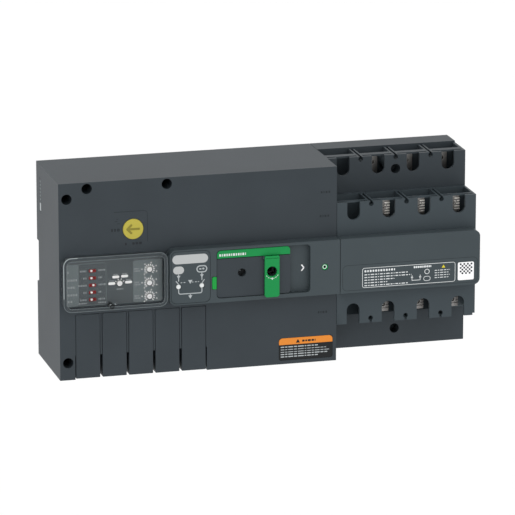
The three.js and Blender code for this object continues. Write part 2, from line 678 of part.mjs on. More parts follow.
function chambers(d0, d1, z0, z1) {
  return POLES.map((x) => block(x - CHAMBER_WIDTH / 2, x + CHAMBER_WIDTH / 2, d0, d1, z0, z1));
}

// The strip that covers the front of each chamber, level with the top of its front wall.
function chamberRoofs(chamber, top) {
  const half = CHAMBER_WIDTH / 2 + 1;
  return POLES.map((x) => block(x - half, x + half, chamber.front - chamber.roof, chamber.front + 1,
    top - ROOF_THICKNESS, top));
}

// Openings in a chamber's floor for the conductors at depth d.
function conductorSlots(d, z0, z1) {
  return LIVE_POLES.map((x) => block(x - CONDUCTOR_HALF - GAP, x + CONDUCTOR_HALF + GAP,
    d - GAP, d + CONTACT_THICKNESS + GAP, z0, z1));
}

const CONDUCTOR_HALF = 4;
const FRONT_WALL = 2.7;
const ROOF_THICKNESS = 1.5;
const CHAMBER_1 = {
  back: 22, front: BASE_DEPTH - FRONT_WALL, bottom: 134, slotEnd: 147.5, keyhole: 160.6, roof: 9,
};
const CHAMBER_2 = {
  back: 55, front: BODY_DEPTH - FRONT_WALL, bottom: 105.5, slotEnd: 118.1, keyhole: 130.8, roof: 5,
};
const CHAMBER_3 = { back: 55, front: BODY_DEPTH - FRONT_WALL, top: 59.5, slotEnd: 47.4, keyhole: 34 };
const TOP_LEDGE = 1.2;

// Where a fixed contact lies, behind or in front of a blade that stands upright
function contactBehind(axis) {
  return axis - BLADE_HALF_THICKNESS - CONTACT_GAP - CONTACT_THICKNESS;
}

function contactInFront(axis) {
  return axis + BLADE_HALF_THICKNESS + CONTACT_GAP;
}

function switchBase() {
  const left = SWITCH_LEFT;
  const right = TOTAL_WIDTH;
  const bottom = BASE_BOTTOM;
  const innerLeft = left + WALL;
  const innerRight = right - WALL;
  const ceiling = CHAMBER_1.bottom - CHAMBER_FLOOR;
  const channelFront = RAIL_DEPTH + WALL;
  const bearing = block(innerRight - 4, innerRight + 1, SOURCE_1_AXIS - 6, SOURCE_1_AXIS + 6,
    AXIS_Z - 6, AXIS_Z + 6);
  const bosses = MOUNTING_HOLE_HEIGHTS.map((z) => rodFront(MOUNTING_HOLE_X, z, 6.2, 1, BASE_DEPTH));
  const hollow = cut(
    block(left, right, 0, BASE_DEPTH, bottom, TOTAL_HEIGHT),
    block(innerLeft, innerRight, WALL, BASE_DEPTH - WALL, bottom + WALL, RAIL_BOTTOM - WALL),
    block(innerLeft, innerRight, channelFront, BASE_DEPTH - WALL, bottom + WALL, ceiling),
    block(innerLeft, innerRight, WALL, BASE_DEPTH - WALL, RAIL_TOP + WALL, ceiling),
    block(innerLeft, innerRight, BASE_DEPTH - WALL - 1, BASE_DEPTH + 1, 36, 129),
    ...chambers(CHAMBER_1.back, CHAMBER_1.front, CHAMBER_1.bottom, TOTAL_HEIGHT + 1),
  );
  return cut(
    join(hollow, bearing, ...bosses, ...chamberRoofs(CHAMBER_1, TOTAL_HEIGHT - TOP_LEDGE)),
    block(left - 1, right + 1, -1, RAIL_DEPTH, RAIL_BOTTOM, RAIL_TOP),
    block(left - 1, right + 1, CHAMBER_1.back, BASE_DEPTH + 1, TOTAL_HEIGHT - TOP_LEDGE, TOTAL_HEIGHT + 1),
    ...wireSlots(CHAMBER_1.slotEnd, 1, BASE_DEPTH),
    ...barrierSlots(CHAMBER_1.keyhole, TOTAL_HEIGHT, CHAMBER_1.back, BASE_DEPTH),
    ...conductorSlots(contactBehind(SOURCE_1_AXIS), ceiling - 1, CHAMBER_1.bottom + 1),
    ...MOUNTING_HOLE_HEIGHTS.flatMap((z) => [
      rodFront(MOUNTING_HOLE_X, z, 2.4, -1, BASE_DEPTH + 1, 12),
      rodFront(MOUNTING_HOLE_X, z, 4, 38, BASE_DEPTH + 1, 16),
    ]),
    rodAcross(SOURCE_1_AXIS, AXIS_Z, SHAFT_RADIUS + GAP, left - 1, innerLeft + 1),
    rodAcross(SOURCE_1_AXIS, AXIS_Z, SHAFT_RADIUS + GAP, innerRight - 5, innerRight),
  );
}

function switchMiddleBody() {
  const left = SWITCH_LEFT;
  const right = FRONT_LAYER_RIGHT;
  const back = BASE_DEPTH + GAP;
  const innerLeft = left + WALL;
  const innerRight = right - WALL;
  const cavity = { bottom: CHAMBER_3.top + CHAMBER_FLOOR, top: CHAMBER_2.bottom - CHAMBER_FLOOR };
  const bearing = block(innerRight - 4, innerRight + 1, SOURCE_2_AXIS - 6, SOURCE_2_AXIS + 6,
    AXIS_Z - 6, AXIS_Z + 6);
  const hollow = cut(
    block(left, right, back, BODY_DEPTH, FRONT_LAYER_BOTTOM, FRONT_LAYER_TOP),
    block(innerLeft, innerRight, back - 1, BODY_DEPTH + 1, cavity.bottom, cavity.top),
    ...chambers(CHAMBER_2.back, CHAMBER_2.front, CHAMBER_2.bottom, FRONT_LAYER_TOP + 1),
    ...chambers(CHAMBER_3.back, CHAMBER_3.front, FRONT_LAYER_BOTTOM - 1, CHAMBER_3.top),
  );
  const loadBars = LIVE_POLES.map((x) => block(x - CONDUCTOR_HALF - GAP, x + CONDUCTOR_HALF + GAP,
    back - 1, CHAMBER_3.back + 1, LOAD_BAR.bottom - GAP, LOAD_BAR.top + GAP));
  return cut(
    join(hollow, bearing, ...chamberRoofs(CHAMBER_2, FRONT_LAYER_TOP)),
    block(right - FRONT_LAYER_NOTCH.width, right + 1, back - 1, BODY_DEPTH + 1,
      FRONT_LAYER_BOTTOM - 1, FRONT_LAYER_BOTTOM + FRONT_LAYER_NOTCH.height),
    ...wireSlots(CHAMBER_2.slotEnd, 1, BODY_DEPTH),
    ...wireSlots(CHAMBER_3.slotEnd, -1, BODY_DEPTH),
    ...barrierSlots(CHAMBER_2.keyhole, FRONT_LAYER_TOP, CHAMBER_2.back, BODY_DEPTH),
    ...barrierSlots(CHAMBER_3.keyhole, FRONT_LAYER_BOTTOM, CHAMBER_3.back, BODY_DEPTH),
    ...conductorSlots(contactBehind(SOURCE_2_AXIS), cavity.top - 1, CHAMBER_2.bottom + 1),
    ...conductorSlots(contactInFront(SOURCE_2_AXIS), CHAMBER_3.top - 1, cavity.bottom + 1),
    ...loadBars,
    rodAcross(SOURCE_2_AXIS, AXIS_Z, SHAFT_RADIUS + GAP, left - 1, innerLeft + 1),
    rodAcross(SOURCE_2_AXIS, AXIS_Z, SHAFT_RADIUS + GAP, innerRight - 5, innerRight),
  );
}

// ---- Conductors and contacts ----

const LUG_HALF = 4.2;
const LUG_SCREW_RADIUS = 3.4;
const LUG_SCREW_DROP = 5;
const LOAD_BAR = { bottom: 50, top: 54 };
const CONTACT_OVERLAP = 5;

function lug(x, back, front, z0, z1, screwZ) {
  const screw = cut(
    rodFront(x, screwZ, LUG_SCREW_RADIUS, front - 1, front + 2.2, 16),
    block(x - LUG_SCREW_RADIUS, x + LUG_SCREW_RADIUS, front + 1.2, front + 3, screwZ - 0.5, screwZ + 0.5),
  );
  return block(x - LUG_HALF, x + LUG_HALF, back, front, z0, z1).add(screw);
}

// An incoming terminal: the lug in its chamber and the bar down to the fixed contact.
function sourceTerminal(x, axis, lugBottom, lugTop, lugDepth) {
  const back = contactBehind(axis);
  const bar = block(x - CONDUCTOR_HALF, x + CONDUCTOR_HALF, back, back + CONTACT_THICKNESS,
    AXIS_Z + BLADE_REACH - CONTACT_OVERLAP, lugBottom + 1);
  return bar.add(lug(x, back, lugDepth, lugBottom, lugTop, lugTop - LUG_SCREW_DROP));
}

// An outgoing terminal: one lug with a bar that feeds it from both switch layers.
function loadTerminal(x) {
  const rear = contactInFront(SOURCE_1_AXIS);
  const front = contactInFront(SOURCE_2_AXIS);
  const top = AXIS_Z - BLADE_REACH + CONTACT_OVERLAP;
  const riser = (d) => block(x - CONDUCTOR_HALF, x + CONDUCTOR_HALF, d, d + CONTACT_THICKNESS,
    LOAD_BAR.bottom, top);
  return join(
    block(x - CONDUCTOR_HALF, x + CONDUCTOR_HALF, rear, front + CONTACT_THICKNESS,
      LOAD_BAR.bottom, LOAD_BAR.top),
    riser(rear),
    riser(front),
    lug(x, 58, 69, 35, LOAD_BAR.bottom + 1, 41.5),
  );
}

// A shaft with one blade for each live pole, standing open, and the crank that the link drives.
function contactShaft(axis, rightEnd, crankSide) {
  const crankX = LINK_X + LINK_THICKNESS + 1;
  const pin = axis + crankSide * CRANK;
  const [armBack, armFront] = crankSide > 0 ? [axis, pin + 2.5] : [pin - 2.5, axis];
  const blades = LIVE_POLES.map((x) => solid(
    new THREE.BoxGeometry(5, 2 * BLADE_HALF_THICKNESS, 2 * BLADE_REACH)
      .rotateX(OPEN_ANGLE)
      .translate(x, -axis, AXIS_Z)));
  const hubs = LIVE_POLES.map((x) => rodAcross(axis, AXIS_Z, 5, x - 7, x + 7));
  return join(
    rodAcross(axis, AXIS_Z, SHAFT_RADIUS, crankX, rightEnd),
    block(crankX, crankX + 3, armBack, armFront, AXIS_Z - 2.5, AXIS_Z + 2.5),
    rodAcross(axis, AXIS_Z, 4.5, crankX, crankX + 3),
    rodAcross(pin, AXIS_Z, CRANK_PIN_RADIUS, LINK_X - 0.5, crankX + 1, 12),
    ...blades,
    ...hubs,
  );
}

function arcChutes(axis) {
  const back = axis + 14.5;
  const front = axis + 21;
  const bottom = 76;
  const plateCount = 6;
  const platePitch = 4;
  const half = 8;
  const parts = [];
  LIVE_POLES.forEach((x) => {
    for (let i = 0; i < plateCount; i += 1) {
      parts.push(block(x - half, x + half, back, front - 0.5, bottom + i * platePitch,
        bottom + i * platePitch + 1.2));
    }
  });
  const spineTop = bottom + (plateCount - 1) * platePitch + 1.2;
  parts.push(block(LIVE_POLES[0] - half, LIVE_POLES[2] + half, front - 1.2, front, bottom, spineTop));
  return join(...parts);
}

// ---- Drive ----

function operatingSpindle() {
  const pinX = SPINDLE_X + CRANK;
  const socket = block(SPINDLE_X - 2, SPINDLE_X + 2, 79, 87, AXIS_Z - 2, AXIS_Z + 2);
  return cut(
    join(
      rodFront(SPINDLE_X, AXIS_Z, 4, 74, 86),
      block(SPINDLE_X, pinX + 2.5, 74, 77, AXIS_Z - 2.5, AXIS_Z + 2.5),
      rodFront(pinX, AXIS_Z, CRANK_PIN_RADIUS, 69.8, 75, 12),
    ),
    socket,
  );
}

function mechanismPlate() {
  return cut(
    block(158, 184, 78, 79.8, 57, 109),
    rodFront(SPINDLE_X, AXIS_Z, 4 + GAP, 77, 81),
  );
}

// A horizontal slot's half height round a crank pin
const PIN_SLOT_HALF = CRANK_PIN_RADIUS + 0.5;
const PIN_DRIFT = CRANK * (1 - Math.cos(OPEN_ANGLE));
const PLUNGER = { x: 188, d: 50, radius: 4, bottom: 36 };
const FLAG = { left: 143, right: 192, half: 12, back: 84, front: 85.2, windowHalf: 10.3 };

function driveLink() {
  const front = { back: 70.3, front: 73.3 };
  const low = AXIS_Z - LINK_HALF_HEIGHT;
  const high = AXIS_Z + LINK_HALF_HEIGHT;
  const pinX = SPINDLE_X + CRANK;
  const pin1 = SOURCE_1_AXIS + CRANK;
  const pin2 = SOURCE_2_AXIS - CRANK;
  const slotLow = AXIS_Z - PIN_SLOT_HALF;
  const slotHigh = AXIS_Z + PIN_SLOT_HALF;
  const facing = block(pinX - 6.5, LINK_X + LINK_THICKNESS, front.back, front.front, low, high);
  const side = block(LINK_X, LINK_X + LINK_THICKNESS, 31, front.front, low, high);
  const foot = block(PLUNGER.x - 5, LINK_X + LINK_THICKNESS, PLUNGER.d - 5, PLUNGER.d + 5, low - 2, low + 1);
  const post = block(187, 190, front.back, FLAG.back - GAP, AXIS_Z - 3, AXIS_Z + 3);
  return cut(
    join(facing, side, foot, post),
    block(pinX - PIN_DRIFT - PIN_SLOT_HALF, pinX + PIN_SLOT_HALF, front.back - 1, front.front + 1,
      slotLow, slotHigh),
    block(LINK_X - 1, LINK_X + LINK_THICKNESS + 1, pin1 - PIN_DRIFT - PIN_SLOT_HALF, pin1 + PIN_SLOT_HALF,
      slotLow, slotHigh),
    block(LINK_X - 1, LINK_X + LINK_THICKNESS + 1, pin2 - PIN_SLOT_HALF, pin2 + PIN_DRIFT + PIN_SLOT_HALF,
      slotLow, slotHigh),
  );
}

function positionFlag() {
  return cut(
    block(FLAG.left, FLAG.right, FLAG.back, FLAG.front, AXIS_Z - FLAG.half, AXIS_Z + FLAG.half),
    block(SPINDLE_X - 5.5, SPINDLE_X + 5.5, FLAG.back - 1, FLAG.front + 1,
      AXIS_Z - FLAG.windowHalf, AXIS_Z + FLAG.windowHalf),
  );
}

function actuatorPlunger() {
  return rodUp(PLUNGER.x, PLUNGER.d, PLUNGER.radius, PLUNGER.bottom,
    AXIS_Z - LINK_HALF_HEIGHT - 2 - GAP);
}

function actuatorCoil() {
  const { x, d } = PLUNGER;
  return cut(
    join(
      block(x - 14, x + 14, d - 13, d + 13, 24, 27),
      block(x - 14, x + 14, d - 13, d + 13, 58, 61),
      block(x - 14, x - 11, d - 13, d + 13, 24, 61),
      block(x + 11, x + 14, d - 13, d + 13, 24, 61),
      rodUp(x, d, 12.4, 26, 59, 20),
    ),
    rodUp(x, d, PLUNGER.radius + 0.5, 20, 65),
  );
}

// ---- Assembly ----

const assembly = new THREE.Group();
assembly.position.set(-TOTAL_WIDTH / 2, RAIL_DEPTH, -RAIL_CENTRE);

function place(name, body, material) {
  const { vertProperties, triVerts, numProp } = body.getMesh();
  const geometry = new THREE.BufferGeometry();
  const positions = new Float32Array((vertProperties.length / numProp) * 3);
  for (let i = 0; i < positions.length / 3; i += 1) {
    positions.set(vertProperties.slice(i * numProp, i * numProp + 3), i * 3);
  }
  geometry.setAttribute('position', new THREE.BufferAttribute(positions, 3));
  geometry.setIndex(new THREE.BufferAttribute(new Uint32Array(triVerts), 1));
  const mesh = new THREE.Mesh(geometry, material);
  mesh.name = name;
  assembly.add(mesh);
}

const M = MATERIALS;
place('control_housing', controlHousing(), M.housing);
place('rear_plate', rearPlate(), M.inner);
place('control_front_cover', controlFrontCover(), M.belt);
place('switch_base', switchBase(), M.housing);
place('switch_middle_body', switchMiddleBody(), M.housing);
place('switch_front_cover', switchFrontCover(), M.belt);

place('settings_lid', settingsLid(), M.lid);
place('settings_panel', settingsPanel(), M.panel);
place('dip_switch_block', dipBlock(), M.red);
for (let i = 0; i < DIP_COUNT; i += 1) place(`dip_slider_${i + 1}`, dipSlider(i), M.white);
place('mode_selector', trimmer(SELECTOR.x, SELECTOR.z, -Math.PI / 6), M.white);
[Math.PI / 4, -Math.PI / 4, -Math.PI / 2].forEach((turn, i) => {
  place(`delay_dial_${i + 1}`, trimmer(DIAL_X, dialZ(i), turn), M.white);
});
place('controller_board', controllerBoard(), M.board);
place('transformer', transformer(), M.steel);
for (let i = 0; i < MODULE_COUNT; i += 1) place(`module_cover_${i + 1}`, moduleCover(i), M.housing);
place('auto_manual_knob', autoManualKnob(), M.yellow);

place('diagram_panel', diagramPanel(), M.belt);
LAMP_XS.forEach((x, i) => {
  place(`source_lamp_${i + 1}`, rodFront(x, LAMP_Z, 2, 84, BELT_DEPTH + 0.3, 16), M.lamp);
});
place('release_latch', releaseLatch(), M.brightGreen);
place('shutter', shutter(), M.housing);
place('shutter_header', shutterHeader(), M.green);
place('padlock_bar', padlockBar(), M.green);
place('seal_bush', sealBush(), M.green);

LIVE_POLES.forEach((x, i) => {
  place(`source_1_terminal_${i + 1}`, sourceTerminal(x, SOURCE_1_AXIS, 140, 158.8, 34), M.tinned);
  place(`source_2_terminal_${i + 1}`, sourceTerminal(x, SOURCE_2_AXIS, 112, 130, 70), M.tinned);
  place(`load_terminal_${i + 1}`, loadTerminal(x), M.tinned);
});
place('source_1_contact_shaft', contactShaft(SOURCE_1_AXIS, TOTAL_WIDTH - WALL - 0.5, 1), M.copper);
place('source_2_contact_shaft', contactShaft(SOURCE_2_AXIS, FRONT_LAYER_RIGHT - WALL - 0.5, -1), M.copper);
place('source_1_arc_chutes', arcChutes(SOURCE_1_AXIS), M.steel);
place('source_2_arc_chutes', arcChutes(SOURCE_2_AXIS), M.steel);

place('operating_spindle', operatingSpindle(), M.inner);
place('mechanism_plate', mechanismPlate(), M.steel);
place('drive_link', driveLink(), M.steel);
place('position_flag', positionFlag(), M.inner);
place('actuator_plunger', actuatorPlunger(), M.steel);
place('actuator_coil', actuatorCoil(), M.copper);
place('din_rail_clip', railClip(), M.inner);
place('clip_spring', clipSpring(), M.steel);

place('warning_label', labelPlate(WARNING, BODY_DEPTH), M.labelBlack);
place('rating_plate', labelPlate(RATING, BELT_DEPTH), M.labelBlack);
place('code_label', labelPlate(CODE, BELT_DEPTH), M.labelPale);
place('side_label', sideLabel(), M.labelPale);

export default assembly;
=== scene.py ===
"""Looks of a rail-mounted automatic transfer switch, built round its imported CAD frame.

Shapes are made in mm from the lower left corner of the rear face: x to the right, d to the front and z up.
Outlines in the front view are lists of (x, z). Each finished piece is moved to the row frame, in metres.
"""

import json
import math

import bmesh
import bpy
from mathutils import Matrix, Vector


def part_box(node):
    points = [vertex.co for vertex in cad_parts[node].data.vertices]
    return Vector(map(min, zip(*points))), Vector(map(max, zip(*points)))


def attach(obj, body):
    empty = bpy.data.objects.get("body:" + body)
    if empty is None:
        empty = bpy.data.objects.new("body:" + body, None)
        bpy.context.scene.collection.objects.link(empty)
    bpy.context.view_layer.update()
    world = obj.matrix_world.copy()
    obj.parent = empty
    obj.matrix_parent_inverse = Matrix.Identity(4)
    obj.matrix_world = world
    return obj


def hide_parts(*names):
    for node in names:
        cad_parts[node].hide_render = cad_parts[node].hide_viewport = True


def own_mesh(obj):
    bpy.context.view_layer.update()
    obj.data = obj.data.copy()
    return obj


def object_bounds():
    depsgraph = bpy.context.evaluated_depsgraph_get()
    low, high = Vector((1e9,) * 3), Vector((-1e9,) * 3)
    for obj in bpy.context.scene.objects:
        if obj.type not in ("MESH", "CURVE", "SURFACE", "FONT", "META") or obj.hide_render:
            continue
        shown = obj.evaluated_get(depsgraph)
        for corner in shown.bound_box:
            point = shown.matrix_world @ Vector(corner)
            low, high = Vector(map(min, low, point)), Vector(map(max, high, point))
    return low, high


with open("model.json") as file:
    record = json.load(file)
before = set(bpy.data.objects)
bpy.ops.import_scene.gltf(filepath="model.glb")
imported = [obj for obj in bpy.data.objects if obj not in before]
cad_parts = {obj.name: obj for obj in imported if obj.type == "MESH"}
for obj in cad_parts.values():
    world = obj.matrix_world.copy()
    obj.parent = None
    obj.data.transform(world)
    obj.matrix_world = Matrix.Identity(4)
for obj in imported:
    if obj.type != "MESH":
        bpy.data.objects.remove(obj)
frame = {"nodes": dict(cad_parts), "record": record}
CAD_LOW, CAD_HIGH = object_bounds()
SCENE = bpy.context.scene
MM = 0.001
TO_ROW = Matrix.Translation((CAD_LOW.x, CAD_HIGH.y, CAD_LOW.z)) @ Matrix.Scale(MM, 4)
FINE = 48  # sides of a smooth circle


# ---- Places, from the frame ----

class Span:
    """The box of one or more CAD nodes, in mm from the corner."""

    def __init__(self, *nodes):
        lows, highs = zip(*(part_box(n) for n in nodes))
        self.left = (min(p.x for p in lows) - CAD_LOW.x) / MM
        self.right = (max(p.x for p in highs) - CAD_LOW.x) / MM
        self.back = (CAD_HIGH.y - max(p.y for p in highs)) / MM
        self.front = (CAD_HIGH.y - min(p.y for p in lows)) / MM
        self.bottom = (min(p.z for p in lows) - CAD_LOW.z) / MM
        self.top = (max(p.z for p in highs) - CAD_LOW.z) / MM
        self.x = (self.left + self.right) / 2
        self.z = (self.bottom + self.top) / 2


def numbered(name, count):
    return [Span(f"{name}_{i}") for i in range(1, count + 1)]


HOUSING = Span("control_housing")
BELT = Span("control_front_cover")
BASE = Span("switch_base")
MIDDLE = Span("switch_middle_body")
FRONT = Span("switch_front_cover")
LID = Span("settings_lid")
PANEL = Span("settings_panel")
MODULES = numbered("module_cover", 5)
KNOB = Span("auto_manual_knob")
DIAGRAM = Span("diagram_panel")
LAMPS = numbered("source_lamp", 2)
SHUTTER = Span("shutter")
HEADER = Span("shutter_header")
BAR = Span("padlock_bar")
LATCH = Span("release_latch")
BUSH = Span("seal_bush")
WARNING = Span("warning_label")
RATING = Span("rating_plate")
CODE = Span("code_label")
SIDE_LABEL = Span("side_label")
DIALS = numbered("delay_dial", 3)
SELECTOR = Span("mode_selector")
SLIDERS = numbered("dip_slider", 5)

FACE = HOUSING.front
BELT_FACE = DIAGRAM.front - 0.1
BELT_BOTTOM = BELT.bottom
BELT_TOP = BELT.top
BELT_SKIN = 2.2
WALL = 2.5
GAP = 0.3
RAIL_BOTTOM, RAIL_TOP, RAIL_DEPTH = 62.7, 98, 6
AXIS_Z = 83
SOURCE_1_D, SOURCE_2_D = 30, 70
SHAFT_HOLE = 3.3
FIRST_POLE, POLE_PITCH = 246.4, 30
POLES = [FIRST_POLE + POLE_PITCH * i for i in range(4)]
LUG_POLES = POLES[1:]


# ---- Outlines ----

def arc(x, z, radius, start, end, steps):
    """Points on an arc, angles in degrees, both ends included."""
    turn = [math.radians(start + (end - start) * i / steps) for i in range(steps + 1)]
    return [(x + radius * math.cos(a), z + radius * math.sin(a)) for a in turn]


def circle(x, z, radius, steps=FINE):
    return arc(x, z, radius, 0, 360, steps)[:-1]


def rounded(left, right, bottom, top, radius, steps=8):
    """A rectangle with round corners. radius is one number, or four from the lower left anticlockwise."""
    r = radius if isinstance(radius, tuple) else (radius,) * 4
    corners = [(left, bottom, 1, 1, 180), (right, bottom, -1, 1, 270),
               (right, top, -1, -1, 0), (left, top, 1, -1, 90)]
    points = []
    for (x, z, sx, sz, start), rr in zip(corners, r):
        if rr <= 0:
            points.append((x, z))
        else:
            points += arc(x + sx * rr, z + sz * rr, rr, start, start + 90, steps)
    return points


def outline_of(span, corner, grow=0.0, steps=8):
    """The front view of a span with round corners, grown on all four sides."""
    return rounded(span.left - grow, span.right + grow, span.bottom - grow, span.top + grow, corner, steps)


def pill(x, z, width, height, steps=12):
    return rounded(x - width / 2, x + width / 2, z - height / 2, z + height / 2, height / 2 - 1e-3, steps)


def wire_slot(x, round_end, width, length, up):
    """A slot with a round end at round_end that runs up (1) or down (-1)."""
    r = width / 2
    centre = round_end + up * r
    curve = arc(x, centre, r, 180, 360, 20) if up > 0 else arc(x, centre, r, 0, 180, 20)
    end = round_end + up * length
    return [*curve, (curve[-1][0], end), (curve[0][0], end)]


def rotated(points, x, z, degrees):
    c, s = math.cos(math.radians(degrees)), math.sin(math.radians(degrees))
    return [(x + (a - x) * c - (b - z) * s, z + (a - x) * s + (b - z) * c) for a, b in points]


def line(x0, z0, x1, z1, width):
    """A straight stroke."""
    length = math.hypot(x1 - x0, z1 - z0)
    nx, nz = -(z1 - z0) / length * width / 2, (x1 - x0) / length * width / 2
    return [(x0 + nx, z0 + nz), (x1 + nx, z1 + nz), (x1 - nx, z1 - nz), (x0 - nx, z0 - nz)]


def curve(x, z, radius, width, start, end, steps):
    """A curved stroke, angles in degrees."""
    outer = arc(x, z, radius + width / 2, start, end, steps)
    inner = arc(x, z, radius - width / 2, start, end, steps)
    return [*outer, *inner[::-1]]


def triangle(x, z, width, height):
    """A triangle on a level side at z, pointing up, or down where the height is negative."""
    return [(x - width / 2, z), (x + width / 2, z), (x, z + height)]


# ---- Solids ----

def mesh_from(vertices, faces):
    mesh = bpy.data.meshes.new("shape")
    mesh.from_pydata(vertices, [], faces)
    bm = bmesh.new()
    bm.from_mesh(mesh)
    bmesh.ops.recalc_face_normals(bm, faces=bm.faces)
    bm.to_mesh(mesh)
    bm.free()
    return mesh


def loft(rings):
    """A closed solid through rings of points that all have the same count."""
    n = len(rings[0])
    vertices = [p for ring in rings for p in ring]
    faces = [tuple(range(n))[::-1], tuple(range(len(vertices) - n, len(vertices)))]
    for r in range(len(rings) - 1):
        for i in range(n):
            j = (i + 1) % n
            faces.append((r * n + i, r * n + j, (r + 1) * n + j, (r + 1) * n + i))
    return mesh_from(vertices, faces)


def slab(outline, d0, d1):
    """A front-view outline given thickness from depth d0 to d1."""
    return loft([[(x, -d, z) for x, z in outline] for d in (d0, d1)])


def stack(*levels):
    """A solid through front-view outlines, each given as (outline, depth)."""
    return loft([[(x, -d, z) for x, z in outline] for outline, d in levels])


def across(outline, x0, x1):
    """A side-view outline of (d, z) run from x0 to x1."""
    return loft([[(x, -d, z) for d, z in outline] for x in (x0, x1)])


def block(x0, x1, d0, d1, z0, z1):
    return slab([(x0, z0), (x1, z0), (x1, z1), (x0, z1)], d0, d1)


def beam(x, half, d0, d1, z0, z1):
    """A block that reaches half its width to each side of x."""
    return block(x - half, x + half, d0, d1, z0, z1)


def plate(span, corner):
    return slab(outline_of(span, corner), span.back, span.front)


def rod_front(x, z, radius, d0, d1, steps=FINE):
    return slab(circle(x, z, radius, steps), d0, d1)


def rod_across(d, z, radius, x0, x1, steps=24):
    return across(circle(d, z, radius, steps), x0, x1)


def tipped_rod(x, z, radius, tip, d0, d1, d2, steps=FINE):
    """A rod along d, whose radius changes to tip between d1 and d2."""
    rim = circle(x, z, radius, steps)
    return stack((rim, d0), (rim, d1), (circle(x, z, tip, steps), d2))


def shaft_hole(d, x0, x1):
    return rod_across(d, AXIS_Z, SHAFT_HOLE, x0, x1)


def carve(base, *steps):
    """Joins and cuts in turn: each step is ("add", mesh), ("cut", mesh) or ("keep", mesh)."""
    kinds = {"add": "UNION", "cut": "DIFFERENCE", "keep": "INTERSECT"}
    body = bpy.data.objects.new("carved", base)
    SCENE.collection.objects.link(body)
    tools = []
    for kind, mesh in steps:
        tool = bpy.data.objects.new("tool", mesh)
        SCENE.collection.objects.link(tool)
        tools.append(tool)
        change = body.modifiers.new("step", "BOOLEAN")
        change.operation = kinds[kind]
        change.solver = "MANIFOLD"
        change.object = tool
    graph = bpy.context.evaluated_depsgraph_get()
    result = bpy.data.meshes.new_from_object(body.evaluated_get(graph))
    for o in (body, *tools):
        bpy.data.objects.remove(o)
    return result


def adds(*meshes):
    return [("add", m) for m in meshes]


def cuts(*meshes):
    return [("cut", m) for m in meshes]


def cut(base, *meshes):
    return carve(base, *cuts(*meshes))


def join(base, *meshes):
    return carve(base, *adds(*meshes))


def merged(*meshes):
    """Separate solids in one mesh."""
    bm = bmesh.new()
    for m in meshes:
        bm.from_mesh(m)
    mesh = bpy.data.meshes.new("shape")
    bm.to_mesh(mesh)
    bm.free()
    return mesh


def ring(outer, inner, d0, d1):
    return cut(slab(outer, d0, d1), slab(inner, d0 - 1, d1 + 1))


# ---- Pieces ----

ROOT = "enclosure"
BEVEL_SEGMENTS, BEVEL_ANGLE, SHARP_ANGLE = 2, 28, 35
SAME_POINT, SAME_PLANE = 1e-4, 0.4


def applied(obj):
    """The object's mesh with its modifiers applied, which are then removed."""
    graph = bpy.context.evaluated_depsgraph_get()
    mesh = bpy.data.meshes.new_from_object(obj.evaluated_get(graph))
    obj.modifiers.clear()
    return mesh


def piece(name, mesh, body, material, nodes=(), bevel=0.3):
    """Bevels and shades a mesh, moves it to the row frame and makes it ride on a body.

    A piece takes its material, and the nodes it replaces are hidden.
    """
    bm = bmesh.new()
    bm.from_mesh(mesh)
    bmesh.ops.remove_doubles(bm, verts=bm.verts, dist=SAME_POINT)
    bmesh.ops.dissolve_limit(bm, angle_limit=math.radians(SAME_PLANE), verts=bm.verts, edges=bm.edges)
    for f in bm.faces:
        f.smooth = True
    bm.to_mesh(mesh)
    bm.free()
    obj = bpy.data.objects.new(name, mesh)
    SCENE.collection.objects.link(obj)
    if bevel:
        b = obj.modifiers.new("bevel", "BEVEL")
        b.width = bevel
        b.segments = BEVEL_SEGMENTS
        b.limit_method = "ANGLE"
        b.angle_limit = math.radians(BEVEL_ANGLE)
        b.miter_outer = "MITER_SHARP"
        obj.data = applied(obj)
    obj.data.set_sharp_from_angle(angle=math.radians(SHARP_ANGLE))
    w = obj.modifiers.new("normals", "WEIGHTED_NORMAL")
    w.keep_sharp = True
    final = applied(obj)
    final.name = name
    final.transform(TO_ROW)
    obj.data = final
    final.materials.clear()
    final.materials.append(M[material])
    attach(obj, body)
    if nodes:
        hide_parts(*nodes)
    return obj


PRINT_SINK = 0.02


def raised(face, height, *outlines):
    """Flat marks that stand out from a face by their height."""
    return merged(*(slab(outline, face - PRINT_SINK, face + height) for outline in outlines))


def bars(rows, face, height):
    """Raised print from rows of (x, z, width, height)."""
    return raised(face, height, *(rounded(x, x + w, z, z + h, min(w, h) * 0.3, 2) for x, z, w, h in rows))


def words(x0, x1, z, height, lengths, gap):
    """A line of plain dashes that stands for print, from x0 to x1."""
    rows, x, i = [], x0, 0
    while x < x1 - 0.3:
        w = min(lengths[i % len(lengths)], x1 - x)
        rows.append((x, z, w, height))
        x += w + gap
        i += 1
    return rows


def mark(name, mesh, material, body=ROOT):
    """A piece of print, which has no bevel."""
    piece(name, mesh, body, material, bevel=0)


# ---- Materials ----

PLASTIC_IOR, CLEAR_IOR, CLEAR_ALPHA = 1.3, 1.5, 0.06
RELIEF_DEPTH = 0.00004


def srgb(r, g, b):
    """An sRGB colour of 0 to 255 as linear RGBA."""
    def linear(v):
        v /= 255
        return v / 12.92 if v <= 0.04045 else ((v + 0.055) / 1.055) ** 2.4
    return (linear(r), linear(g), linear(b), 1)


def scaled(colour, k):
    return (*(min(1, c * k) for c in colour[:3]), 1)


